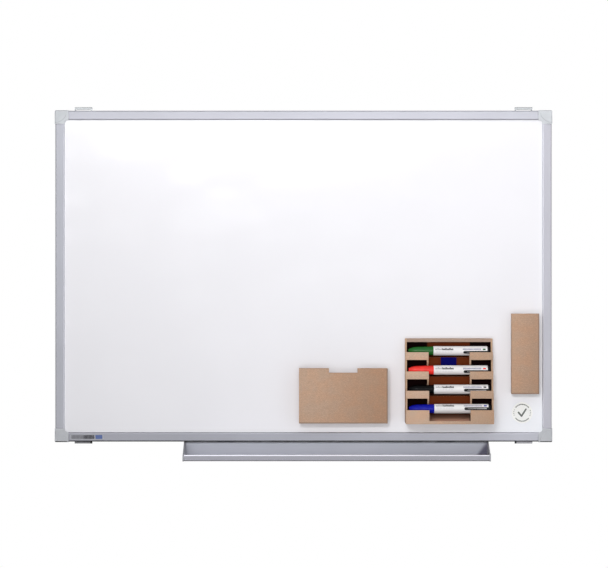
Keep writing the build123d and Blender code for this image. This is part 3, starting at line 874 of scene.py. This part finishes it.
@dataclass(frozen=True)
class RailPlate(Finish):
    """A blank film plate: a row of plain ticks and a blue block at its end."""

    low: Colour = (0.0, 0.0, 0.0)
    high: Colour = (1.0, 1.0, 1.0)
    film: Colour = (0.31, 0.314, 0.345)
    ink: Colour = (0.012, 0.012, 0.02)
    blue: Colour = (0.06, 0.10, 0.26)
    tick_pitch: float = 2.4 * MM
    tick_width: float = 2.0 * MM
    tick_low: float = 1.0 * MM
    tick_high: float = 8.0 * MM
    light_part: float = 0.4
    light_ink: float = 0.6
    block_low: float = 0.9 * MM
    block_high: float = 8.1 * MM
    block_width: float = 12.5 * MM
    border: float = 2.0 * MM
    dark_share: float = 0.93
    relief: float = 0.01 * MM

    def paint(self, graph: Graph) -> None:
        """Everything is placed from the plate's lower left corner.

        Args:
            graph: the material's tree.
        """
        place = graph.position(Vector(self.low))
        across, _, up = graph.split(place)
        width = self.high[0] - self.low[0]
        block_start = width - self.border - self.block_width
        block = across.between(block_start, width - self.border)
        block = block * up.between(self.block_low, self.block_high)
        ticks = across.between(self.border, block_start - self.border)
        ticks = ticks * up.between(self.tick_low, self.tick_high)
        ticks = ticks * (across - self.border).dashes(self.tick_pitch, self.tick_width)
        dark = across > self.light_part * width
        ticks = ticks * (self.light_ink + (1.0 - self.light_ink) * dark)
        grain = graph.noise(1800.0, 2.0)
        film = graph.toned(grain, self.film, self.dark_share)
        sockets = {
            "Base Color": graph.mix(block, graph.mix(ticks, film, self.ink), self.blue),
            "Roughness": 0.32 + 0.1 * grain,
            "Metallic": 0.25,
        }
        graph.wear(sockets, grain, self.relief)


@dataclass(frozen=True)
class RoundLabel(Finish):
    """A white paper disc with two broken arcs, ticks at its sides and a tick mark."""

    centre: Colour = (0.0, 0.0, 0.0)
    paper: Colour = (0.96, 0.965, 0.955)
    ink: Colour = (0.045, 0.060, 0.050)
    ring: float = 15.2 * MM
    ring_width: float = 1.9 * MM
    arc_half_angle: float = math.radians(52.0)
    arc_pitch: float = math.tau / 52
    arc_fill: float = 0.74
    side_half_angle: float = math.radians(24.0)
    side_pitch: float = math.tau / 30
    side_fill: float = 0.35
    side_ink: float = 0.8
    stroke: float = 3.0 * MM
    mark_left: tuple[float, float] = (-6.6 * MM, 0.6 * MM)
    mark_elbow: tuple[float, float] = (-1.2 * MM, -6.0 * MM)
    mark_right: tuple[float, float] = (6.8 * MM, 6.4 * MM)
    mark_ink: float = 0.92
    dull_share: float = 0.96
    relief: float = 0.01 * MM

    def _line(self, x: Socket, z: Socket, start: tuple, end: tuple) -> Socket:
        """A straight stroke.

        Args:
            x: the place across, from the label's centre.
            z: the place up.
            start: where the stroke starts, in metres.
            end: where it ends.

        Returns:
            1 on the stroke, else 0.
        """
        run, rise = end[0] - start[0], end[1] - start[1]
        share = ((x - start[0]) * run + (z - start[1]) * rise) / (run * run + rise * rise)
        share = share.at_least(0.0).at_most(1.0)
        away = x.graph.length(x - start[0] - share * run, z - start[1] - share * rise)
        return away < self.stroke / 2

    def paint(self, graph: Graph) -> None:
        """The print in polar coordinates around the label's centre.

        Args:
            graph: the material's tree.
        """
        x, _, z = graph.split(graph.position(Vector(self.centre)))
        radius = graph.length(x, z)
        angle = graph.maths("ARCTAN2", x, z)
        on_ring = radius.between(self.ring - self.ring_width / 2, self.ring + self.ring_width / 2)
        upper = abs(angle) < self.arc_half_angle
        lower = abs(angle) > math.pi - self.arc_half_angle
        dashes = angle.dashes(self.arc_pitch, self.arc_fill * self.arc_pitch)
        arcs = on_ring * (upper + lower) * dashes
        beside = abs(abs(angle) - math.pi / 2) < self.side_half_angle
        dashes = angle.dashes(self.side_pitch, self.side_fill * self.side_pitch)
        ticks = on_ring * beside * dashes
        mark = self._line(x, z, self.mark_left, self.mark_elbow)
        mark = mark.at_least(self._line(x, z, self.mark_elbow, self.mark_right))
        ink = arcs.at_least(ticks * self.side_ink).at_least(mark * self.mark_ink)
        fibres = graph.noise(2400.0, 3.0)
        paper = graph.toned(fibres, self.paper, self.dull_share)
        sockets = {"Base Color": graph.mix(ink, paper, self.ink), "Roughness": 0.6 + 0.1 * fibres}
        graph.wear(sockets, fibres, self.relief)


@dataclass(frozen=True)
class PrintedBarrel(Finish):
    """A marker's white barrel with plain rules, a dark pill and a line sample in it.

    A patch of the print is from and to along the barrel, then from and to round it.
    """

    start: Colour = (0.0, 0.0, 0.0)
    ink: Colour = (0.1, 0.1, 0.1)
    roll: float = 0.0
    radius: float = 8.5 * MM
    white: Colour = (0.90, 0.88, 0.885)
    shaded: Colour = (0.50, 0.47, 0.47)
    black: Colour = (0.004, 0.004, 0.006)
    grey: Colour = (0.16, 0.16, 0.29)
    rule: Patch = (3 * MM, 36 * MM, 1.1 * MM, 4.2 * MM)
    rule_pitch: float = 2.4 * MM
    rule_width: float = 2.0 * MM
    rule_rise: float = 1.2 * MM
    rule_bold: float = 15.6 * MM
    rule_light: float = 0.45
    rule_ink: float = 0.95
    notes: Patch = (4 * MM, 34 * MM, -3.2 * MM, -0.6 * MM)
    note_pitch: float = 1.3 * MM
    note_height: float = 0.45 * MM
    word_pitch: float = 5 * MM
    word_length: float = 4.1 * MM
    note_ink: float = 0.35
    small: Patch = (53 * MM, 86 * MM, 1.2 * MM, 4.4 * MM)
    small_pitch: float = 2.2 * MM
    small_width: float = 1.5 * MM
    small_ink: float = 0.85
    spot: Patch = (89 * MM, 94 * MM, 1.4 * MM, 4.0 * MM)
    pill_middle: float = 77.5 * MM
    pill_reach: float = 21 * MM
    pill_drop: float = 2.9 * MM
    pill_radius: float = 2.7 * MM
    sample_start: float = 60 * MM
    sample_end: float = 94 * MM
    sample_half: float = 0.12 * MM
    sample_slope: float = 0.008
    shade_reach: float = 9 * MM
    shade_strength: float = 0.45
    dull_share: float = 0.97
    relief: float = 0.02 * MM

    @staticmethod
    def _within(along: Socket, around: Socket, patch: Patch, rise: Number = 0.0) -> Socket:
        """1 inside a patch, whose upper edge can be raised, else 0."""
        return along.between(patch[0], patch[1]) * around.between(patch[2], rise + patch[3])

    def _rules(self, along: Socket, around: Socket) -> Iterator[tuple[Socket, Colour]]:
        """The rows of plain marks.

        Args:
            along: the place along the barrel.
            around: the place round it.

        Yields:
            How much of its colour each row has, and that colour.
        """
        tall = along.dashes(3 * self.rule_pitch, self.rule_pitch)
        rule = self._within(along, around, self.rule, tall * self.rule_rise)
        bold = self.rule_light + (1.0 - self.rule_light) * (along > self.rule_bold)
        rule = rule * along.dashes(self.rule_pitch, self.rule_width)
        yield rule * bold * self.rule_ink, self.black
        notes = self._within(along, around, self.notes)
        notes = notes * around.dashes(self.note_pitch, self.note_height)
        yield notes * along.dashes(self.word_pitch, self.word_length) * self.note_ink, self.grey
        small = self._within(along, around, self.small)
        yield small * along.dashes(self.small_pitch, self.small_width) * self.small_ink, self.grey
        yield self._within(along, around, self.spot), self.ink

    def _pill(self, along: Socket, around: Socket) -> Iterator[tuple[Socket, Colour]]:
        """The dark pill, and the white line in it that thickens to its end.

        Args:
            along: the place along the barrel.
            around: the place round it.

        Yields:
            Where each is, and its colour.
        """
        past = (abs(along - self.pill_middle) - self.pill_reach).at_least(0.0)
        middle = around + self.pill_drop
        pill = along.graph.length(past, middle) < self.pill_radius
        half = (along - self.sample_start) * self.sample_slope + self.sample_half
        sample = along.between(self.sample_start, self.sample_end) * (abs(middle) < half)
        yield pill, self.black
        yield pill * sample, self.white

    def paint(self, graph: Graph) -> None:
        """The print runs along the barrel, from its open end, and round it.

        Args:
            graph: the material's tree.
        """
        along, back, up = graph.split(graph.position(Vector(self.start)))
        around = graph.maths("ARCTAN2", up, back * -1.0) * self.radius - self.roll
        stains = graph.noise(45.0, 2.0)
        printed = graph.toned(stains.ramp(0.7, 0.35), self.white, self.dull_share)
        shade = around.ramp(0.0, -self.shade_reach) * self.shade_strength
        printed = graph.mix(shade, printed, self.shaded)
        for mask, colour in (*self._rules(along, around), *self._pill(along, around)):
            printed = graph.mix(mask, printed, colour)
        sockets = {
            "Base Color": printed,
            "Roughness": 0.28 + 0.08 * stains,
            "Specular IOR Level": 0.2,
        }
        graph.wear(sockets, stains, self.relief)


MAGNET_NICKEL = Nickel("nickel")
SCREW_STEEL = SheetSteel("screw_steel", (0.42, 0.42, 0.43), 0.35, 900.0)


# Modelling


def deselect_all() -> None:
    """Leaves nothing selected, so that an operator touches only what is picked next."""
    for piece in bpy.context.selected_objects:
        piece.select_set(False)


def pick(piece: bpy.types.Object) -> None:
    """Selects one piece alone and makes it the active one.

    Args:
        piece: the piece.
    """
    deselect_all()
    piece.select_set(True)
    bpy.context.view_layer.objects.active = piece


@contextmanager
def editing(piece: bpy.types.Object) -> Iterator[None]:
    """Opens a piece in edit mode with all of it selected, and closes it again.

    Args:
        piece: the piece.

    Yields:
        Nothing.
    """
    pick(piece)
    bpy.ops.object.mode_set(mode="EDIT")
    bpy.ops.mesh.select_mode(type="VERT")
    bpy.ops.mesh.select_all(action="SELECT")
    try:
        yield
    finally:
        bpy.ops.object.mode_set(mode="OBJECT")


def apply_modifier(piece: bpy.types.Object, kind: str, settings: dict) -> None:
    """Adds a modifier, sets it and applies it.

    Args:
        piece: the piece.
        kind: the modifier's type.
        settings: its properties.
    """
    modifier = piece.modifiers.new(kind.lower(), kind)
    for name, value in settings.items():
        setattr(modifier, name, value)
    pick(piece)
    bpy.ops.object.modifier_apply(modifier=modifier.name)


@dataclass
class Assembly:
    """A sub-assembly, which rides on one body."""

    body: str = "board"

    def build(self) -> None:
        """Makes and dresses its pieces."""
        raise NotImplementedError

    def dress(self, finish: Finish, *nodes: str) -> None:
        """Gives nodes of the frame a finish.

        Args:
            finish: the finish.
            nodes: the nodes' names.
        """
        for node in nodes:
            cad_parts[node].material_slots[0].material = material_of(finish)
            log.info("%s wears %s", node, finish.name)

    def place(self, piece: bpy.types.Object, slot: str, *nodes: str) -> bpy.types.Object:
        """Hangs a finished piece on the sub-assembly's body, in place of the nodes that it stands
        for.

        Args:
            piece: the piece, at the origin with its place in its mesh.
            slot: not used.
            nodes: the nodes that it stands for.

        Returns:
            The piece.
        """
        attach(piece, self.body)
        if nodes:
            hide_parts(*nodes)
        log.info("%s rides on %s", piece.name, self.body)
        return piece


@dataclass
class SawnPieces(Assembly):
    """Pieces sawn from fibreboard, with their sharp edges taken off."""

    ease: float = 0.28 * MM
    weld: float = 0.002 * MM
    flat: float = math.radians(0.5)
    sharp: float = math.radians(35.0)
    face_share: float = 0.9

    @staticmethod
    def edge_shaded(
        name: str, box: tuple[Vector, Vector], left_gain: Colour, right_gain: Colour
    ) -> EdgeShadedFibreboard:
        """The finish of a board with painted light paler at one side and painted shade along two
        edges.

        Args:
            name: the material's name.
            box: the board's lowest and highest corner.
            left_gain: what its colour is multiplied by at its left end.
            right_gain: the same at its right end.

        Returns:
            The finish.
        """
        low, high = box
        return EdgeShadedFibreboard(
            name, left=low.x, right=high.x, left_gain=left_gain, right_gain=right_gain, bottom=low.z
        )

    def saw(
        self,
        node: str,
        across: Axis,
        slot: str = "fibreboard",
        face: Finish = Fibreboard("board_face"),
        edge: Finish | None = None,
    ) -> bpy.types.Object:
        """Makes the eased pieces that stand for a node.

        Args:
            node: the node, whose mesh is copied and welded.
            across: the axis through the sheet's thickness.
            slot: the material slot.
            face: the finish of its faces.
            edge: the finish of its sawn edges, or the usual one.

        Returns:
            The new piece.
        """
        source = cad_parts[node]
        piece = bpy.data.objects.new(f"sawn_{node}", source.data.copy())
        bpy.context.scene.collection.objects.link(piece)
        pick(piece)
        bpy.ops.mesh.customdata_custom_splitnormals_clear()
        with editing(piece):
            bpy.ops.mesh.remove_doubles(threshold=self.weld)
            bpy.ops.mesh.dissolve_limited(angle_limit=self.flat)
        bevel = {
            "width": self.ease,
            "segments": 2,
            "limit_method": "ANGLE",
            "angle_limit": self.sharp,
            "use_clamp_overlap": True,
        }
        apply_modifier(piece, "BEVEL", bevel)
        piece.data.materials.clear()
        piece.data.materials.append(material_of(face))
        edge = edge or CutEdge(f"board_edge_{across.name.lower()}", across)
        piece.data.materials.append(material_of(edge))
        for polygon in piece.data.polygons:
            flat = abs(polygon.normal[across.value]) > self.face_share
            polygon.material_index = 0 if flat else 1
        pick(piece)
        bpy.ops.object.shade_smooth_by_angle(angle=self.sharp)
        return self.place(piece, slot, node)


# The object


@dataclass
class Panel(Assembly):
    """The writing panel: enamelled steel, its core, its backing and what is stuck on it."""

    def build(self) -> None:
        """Dresses the panel."""
        self.dress(Enamel("white_enamel"), "writing_surface")
        self.dress(Chipboard("chipboard"), "core_board")
        self.dress(BackingFoil("backing_foil"), "backing_sheet")
        low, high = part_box("round_label")
        self.dress(RoundLabel("label_paper", tuple((low + high) / 2)), "round_label")
        low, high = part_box("name_plate")
        self.dress(RailPlate("plate_film", tuple(low), tuple(high)), "name_plate")


@dataclass
class RailFrame(Assembly):
    """Four rails, four corner caps, and the keys and screws inside them."""

    # Painted light and shade: one aluminium and one plastic, coloured per side as the light falls,
    # right rail lightest, bottom rail and lower caps darkest; painted light under the top rail,
    # painted shade under the bottom rail and the lower caps.
    top_colour: Colour = (0.308, 0.311, 0.343)
    top_underside_light: Colour = (0.34, 0.344, 0.378)
    low_colour: Colour = (0.272, 0.275, 0.305)
    low_underside_shade: Colour = (0.006, 0.006, 0.007)
    left_colour: Colour = (0.290, 0.294, 0.323)
    right_colour: Colour = (0.375, 0.373, 0.412)
    upper_cap_colour: Colour = (0.565, 0.588, 0.62)
    lower_cap_colour: Colour = (0.53, 0.545, 0.58)
    cap_roughness: float = 0.42

    def build(self) -> None:
        """Dresses the frame."""
        top = AnodisedAluminium(
            "rail_lines_top", Axis.X, self.top_colour, painted_underside=self.top_underside_light, far=1.05
        )
        self.dress(top, "rail_top")
        low = AnodisedAluminium(
            "rail_lines_low", Axis.X, self.low_colour, painted_underside=self.low_underside_shade, turn=-0.13, far=1.38
        )
        self.dress(low, "rail_bottom")
        left = AnodisedAluminium("rail_lines_left", Axis.Z, self.left_colour, far=1.12, inward=1.0)
        self.dress(left, "rail_left")
        right = AnodisedAluminium("rail_lines_right", Axis.Z, self.right_colour, inward=-1.0)
        self.dress(right, "rail_right")
        upper = MouldedPlastic(
            "upper_cap_plastic", self.upper_cap_colour, self.cap_roughness, underside_shade_share=0.75
        )
        self.dress(upper, "corner_cap_top_left", "corner_cap_top_right")
        lower = MouldedPlastic(
            "lower_cap_plastic",
            self.lower_cap_colour,
            self.cap_roughness,
            underside_shade_share=0.02,
            turn=-0.03,
        )
        self.dress(lower, "corner_cap_bottom_left", "corner_cap_bottom_right")
        self.dress(SheetSteel("key_zinc"), "corner_keys")
        self.dress(SCREW_STEEL, "corner_set_screws")


@dataclass
class WallFittings(Assembly):
    """Two clips above, two brackets below, and the small black stops."""

    clip_colour: Colour = (0.290, 0.302, 0.312)
    # painted shade and light: both brackets are one steel, the left coloured darker, the right
    # lighter
    left_colour: Colour = (0.185, 0.185, 0.196)
    right_colour: Colour = (0.36, 0.355, 0.385)
    stop_colour: Colour = (0.010, 0.010, 0.011)
    roughness: float = 0.5

    def build(self) -> None:
        """Dresses the fittings."""
        clip_steel = SheetSteel("clip_steel", self.clip_colour, self.roughness)
        self.dress(clip_steel, "wall_clip_top_left", "wall_clip_top_right")
        shaded_bracket_steel = SheetSteel("shaded_bracket_steel", self.left_colour, self.roughness)
        self.dress(shaded_bracket_steel, "wall_bracket_bottom_left")
        lit_bracket_steel = SheetSteel("lit_bracket_steel", self.right_colour, self.roughness)
        self.dress(lit_bracket_steel, "wall_bracket_bottom_right")
        stop = MouldedPlastic("black_stop", self.stop_colour, 0.45, gloss=0.12)
        self.dress(stop, "bracket_stops")


@dataclass
class PenTray(Assembly):
    """The tray under the bottom rail, its two ends, its hooks and their screws."""

    body: str = "pen_tray"
    colour: Colour = (0.284, 0.290, 0.325)
    end_colour: Colour = (0.36, 0.365, 0.40)
    hook_colour: Colour = (0.40, 0.406, 0.415)
    roughness: float = 0.5

    def build(self) -> None:
        """Dresses the tray."""
        low, high = (tuple(corner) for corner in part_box("tray_profile"))
        tray = TrayAluminium("tray_lines", Axis.X, self.colour, self.roughness, low=low, high=high)
        self.dress(tray, "tray_profile")
        ends = MouldedPlastic("tray_end_grey", self.end_colour, self.roughness)
        self.dress(ends, "tray_end_left", "tray_end_right")
        self.dress(SheetSteel("hook_steel", self.hook_colour), "tray_hooks")
        self.dress(SCREW_STEEL, "tray_hook_screws")


@dataclass
class CardBox(SawnPieces):
    """The open box for cards, held by magnets."""

    body: str = "card_box"

    def build(self) -> None:
        """Saws the box and dresses its magnets."""
        # painted light: the front is paler at its left and darker at its right, with painted shade on
        # its right and lower edges
        pale, deep = (1.12, 1.19, 1.28), (0.88, 0.84, 0.82)
        front = self.edge_shaded("box_front_board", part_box("card_box_front"), pale, deep)
        self.saw("card_box_back", Axis.Y)
        self.saw("card_box_front", Axis.Y, face=front)
        self.saw("card_box_sides", Axis.X)
        self.saw("card_box_floor", Axis.Z)
        self.dress(MAGNET_NICKEL, "card_box_magnets")


@dataclass
class MarkerRack(SawnPieces):
    """The stepped rack for four markers, with a spare magnet on its first riser."""

    body: str = "marker_rack"
    # painted shade: the rack's back and risers are darkened for the shade inside it
    riser_shade_colour: Colour = (0.120, 0.026, 0.008)
    top_edge_colour: Colour = (0.47, 0.335, 0.265)
    magnet_colour: Colour = (0.001, 0.001, 0.10)

    def build(self) -> None:
        """Saws the rack and dresses its magnets."""
        low, high = (corner.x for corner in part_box("rack_gussets"))
        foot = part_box("rack_floor")[1].z
        shaded_board = DarkFibreboard(
            "shaded_riser_board", self.riser_shade_colour, 0.1, 0.0, low=low, high=high, foot=foot
        )
        left, right = (corner.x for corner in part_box("rack_lips"))
        # painted light: the lips are paler at their left, where the light falls
        pale, plain = (1.26, 1.36, 1.48), (1.02, 1.05, 1.08)
        lips = Fibreboard("lip_board", left=left, right=right, left_gain=pale, right_gain=plain)
        self.saw("rack_back", Axis.Y, "dark_fibreboard", shaded_board)
        self.saw("rack_risers", Axis.Y, "dark_fibreboard", shaded_board)
        self.saw("rack_lips", Axis.Y, face=lips)
        self.saw("rack_sides", Axis.X)
        self.saw("rack_gussets", Axis.X)
        top_edge = CutEdge("top_board_edge", Axis.Z, self.top_edge_colour)
        self.saw("rack_top_board", Axis.Z, edge=top_edge)
        self.saw("rack_floor", Axis.Z)
        self.saw("rack_shelves", Axis.Z)
        self.dress(MAGNET_NICKEL, "rack_magnets")
        self.dress(GlossPlastic("blue_magnet", self.magnet_colour, 0.45, 0.02), "spare_magnet")


@dataclass
class Eraser(SawnPieces):
    """The eraser: a fibreboard block over magnets, with a felt pad."""

    body: str = "eraser"
    round_over: float = 1.1 * MM
    cuts: int = 34
    fuzz: float = 0.25 * MM
    tuft: float = 2.4 * MM

    def build(self) -> None:
        """Saws the block, lays the felt and dresses the magnets."""
        self.saw("eraser_block", Axis.Y)
        # painted light: the cover is paler at its left and darker at its right, with painted shade on
        # its right and lower edges
        pale, deep = (1.04, 1.06, 1.10), (0.92, 0.92, 0.95)
        cover = self.edge_shaded("eraser_board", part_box("eraser_cover"), pale, deep)
        self.saw("eraser_cover", Axis.Y, face=cover)
        self.lay_felt()
        self.dress(MAGNET_NICKEL, "eraser_magnets")

    def lay_felt(self) -> None:
        """A thick felt pad with pressed edges and an uneven face."""
        low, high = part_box("eraser_pad")
        inset = Vector((self.fuzz, self.fuzz, self.fuzz))
        low, high = low + inset, high - inset
        deselect_all()
        bpy.ops.mesh.primitive_cube_add(size=1.0, location=(low + high) / 2, scale=high - low)
        pad = bpy.context.object
        pad.name = "felt_pad"
        bpy.ops.object.transform_apply(location=True, rotation=True, scale=True)
        with editing(pad):
            bpy.ops.mesh.bevel(offset=self.round_over, segments=3, affect="EDGES")
            bpy.ops.mesh.select_all(action="SELECT")
            bpy.ops.mesh.subdivide(number_cuts=self.cuts)
        clumps = bpy.data.textures.new("felt_clumps", "CLOUDS")
        clumps.noise_scale = self.tuft
        uneven = {
            "texture": clumps,
            "texture_coords": "LOCAL",
            "strength": self.fuzz,
            "mid_level": 0.5,
        }
        apply_modifier(pad, "DISPLACE", uneven)
        pad.data.materials.append(material_of(Felt("wool_felt")))
        pick(pad)
        bpy.ops.object.shade_smooth_by_angle(angle=self.sharp)
        self.place(pad, "felt", "eraser_pad")


@dataclass
class Marker(Assembly):
    """One marker: cap, barrel, end plug and ink core."""

    cap_colour: Colour = (0.01, 0.01, 0.012)
    roll: float = 0.0
    gloss: float = 0.22
    plug_colour: Colour = (0.008, 0.008, 0.010)

    def build(self) -> None:
        """Dresses the marker, with its print placed from the cap's mouth."""
        name = self.body
        low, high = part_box(f"{name}_barrel")
        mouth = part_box(f"{name}_cap")[1].x
        start = Vector((mouth, (low.y + high.y) / 2, (low.z + high.z) / 2))
        radius = (high.z - low.z) / 2
        barrel = PrintedBarrel(f"{name}_print", tuple(start), self.cap_colour, self.roll, radius)
        self.dress(barrel, f"{name}_barrel")
        cap = GlossPlastic(f"{name}_cap_gloss", self.cap_colour, gloss=self.gloss)
        self.dress(cap, f"{name}_cap")
        plug = MouldedPlastic("plug_plastic", self.plug_colour, 0.35, gloss=0.12)
        self.dress(plug, f"{name}_plug")
        self.dress(InkCore(f"{name}_ink", self.cap_colour), f"{name}_ink_core")


# The studio


@dataclass
class Lamp:
    """A soft area lamp that looks at a point, with its place in metres and its power in watts."""

    name: str
    place: Colour
    target: Colour
    width: float
    height: float
    power: float
    spread: float = math.pi

    def build(self) -> None:
        """Adds the lamp."""
        light = bpy.data.lights.new(self.name, "AREA")
        light.shape = "RECTANGLE"
        light.size = self.width
        light.size_y = self.height
        light.energy = self.power
        light.spread = self.spread
        lamp = bpy.data.objects.new(self.name, light)
        lamp.location = self.place
        aim = Vector(self.target) - Vector(self.place)
        lamp.rotation_euler = aim.to_track_quat("-Z", "Y").to_euler()
        lamp.visible_camera = False
        bpy.context.scene.collection.objects.link(lamp)
        log.info("lamp %s", self.name)


@dataclass
class Studio:
    """A white studio: soft lamps, a pale floor below the board, and the camera."""

    ambient: float = 0.2
    floor_z: float = -1.5
    floor_radius: float = 5.0
    floor_colour: Colour = (0.62, 0.62, 0.62)
    floor_glow: float = 0.7
    fade_start: float = 2.6
    metres_per_pixel: float = 1.8134 * MM
    board_pixel_x: float = 303.5
    board_pixel_y: float = 276.15
    camera_distance: float = 5.0
    sensor: float = 36.0
    lamps: tuple[Lamp, ...] = (
        Lamp(
            "softbox",
            place=(-0.2, -2.6, 0.18),
            target=(0.44, 0.0, 0.48),
            width=2.5,
            height=1.9,
            power=6.1,
            spread=math.radians(91.0),
        ),
        Lamp(
            "key",
            place=(-0.5, -4.6, 1.08),
            target=(0.25, 0.0, 0.6),
            width=1.1,
            height=0.45,
            power=5.3,
            spread=math.radians(40.0),
        ),
        Lamp(
            "bounce",
            place=(0.0, -3.4, -1.15),
            target=(0.0, 0.0, 0.1),
            width=2.4,
            height=0.5,
            power=1.3,
            spread=math.radians(60.0),
        ),
        Lamp(
            "bank",
            place=(0.3, -1.0, 0.85),
            target=(0.1, 0.0, 0.1),
            width=2.4,
            height=0.6,
            power=4.0,
        ),
        Lamp(
            "side",
            place=(2.0, -2.0, -0.5),
            target=(0.2, 0.0, -0.1),
            width=0.8,
            height=1.0,
            power=4.5,
        ),
        Lamp(
            "rear",
            place=(-1.2, 3.0, 1.4),
            target=(0.0, 0.0, 0.0),
            width=2.0,
            height=1.6,
            power=55.0,
        ),
    )

    def build(self) -> None:
        """Sets up the view, the world, the floor and the lamps."""
        bpy.context.scene.view_settings.view_transform = "Standard"
        self._paint_world()
        self._lay_floor()
        for lamp in self.lamps:
            lamp.build()
        self._place_camera()

    def _paint_world(self) -> None:
        """White to the camera and in reflections, dimmer as light."""
        world = bpy.data.worlds.new("studio_white")
        bpy.context.scene.world = world
        graph = Graph(world)
        seen = self._seen(graph)
        background = graph.tree.nodes["Background"]
        graph.feed(background, "Color", (1.0, 1.0, 1.0))
        graph.feed(background, "Strength", self.ambient + seen * (1.0 - self.ambient))

    @staticmethod
    def _seen(graph: Graph) -> Socket:
        """1 for what the camera sees, also in metal and through glass, else 0.

        Args:
            graph: the tree of the world or the floor.

        Returns:
            The mask.
        """
        path = graph.node("ShaderNodeLightPath")
        seen = graph.output(path, "Is Camera Ray") + graph.output(path, "Is Glossy Ray")
        return (seen + graph.output(path, "Is Transmission Ray")).at_most(1.0)

    def _lay_floor(self) -> None:
        """A pale disc that fades to white at its rim."""
        deselect_all()
        place = (0, 0, self.floor_z)
        bpy.ops.mesh.primitive_circle_add(
            vertices=96, radius=self.floor_radius, fill_type="NGON", location=place
        )
        floor = bpy.context.object
        floor.name = "studio_floor"
        material = bpy.data.materials.new("studio_floor")
        graph = Graph(material)
        across, deep, _ = graph.split(graph.position())
        away = graph.length(across, deep)
        graph.wear({"Base Color": self.floor_colour, "Roughness": 0.9})
        white = graph.node("ShaderNodeEmission", None, {"Color": (1.0, 1.0, 1.0)})
        fading = away.ramp(self.fade_start, self.floor_radius)
        pale = (self._seen(graph) * self.floor_glow).at_least(fading)
        fade = graph.node("ShaderNodeMixShader", None, {"Fac": pale})
        links = graph.tree.links
        links.new(graph.tree.nodes["Principled BSDF"].outputs["BSDF"], fade.inputs[1])
        links.new(white.outputs["Emission"], fade.inputs[2])
        links.new(fade.outputs["Shader"], graph.tree.nodes["Material Output"].inputs["Surface"])
        floor.data.materials.append(material)

    def _place_camera(self) -> None:
        """Looks straight at the board, which stands where the photograph has it."""
        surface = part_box("writing_surface")[0].y
        camera = bpy.data.cameras.new("camera")
        camera.sensor_width = self.sensor
        frame_width = self.metres_per_pixel * IMAGE_WIDTH
        camera.lens = self.sensor * self.camera_distance / frame_width
        camera.shift_x = (IMAGE_WIDTH / 2 - self.board_pixel_x) / IMAGE_WIDTH
        camera.shift_y = (self.board_pixel_y - IMAGE_HEIGHT / 2) / IMAGE_WIDTH
        view = bpy.data.objects.new("camera", camera)
        view.location = (0.0, surface - self.camera_distance, 0.0)
        view.rotation_euler = (math.pi / 2, 0.0, 0.0)
        bpy.context.scene.collection.objects.link(view)
        bpy.context.scene.camera = view


def main() -> None:
    """Builds everything in order."""
    logging.basicConfig(level=logging.INFO, format="%(name)s: %(message)s")
    Studio().build()
    assemblies = (
        Panel(),
        RailFrame(),
        WallFittings(),
        PenTray(),
        CardBox(),
        MarkerRack(),
        Eraser(),
        Marker("marker_green", (0.006, 0.115, 0.012), roll=0.2 * MM),
        Marker("marker_red", (0.95, 0.040, 0.030), roll=0.2 * MM),
        Marker("marker_black", (0.001, 0.001, 0.0012), roll=1.6 * MM, gloss=0.06),
        Marker("marker_blue", (0.001, 0.005, 0.36), roll=3.3 * MM, gloss=0.12),
    )
    for assembly in assemblies:
        assembly.build()


if __name__ == "__main__":
    main()
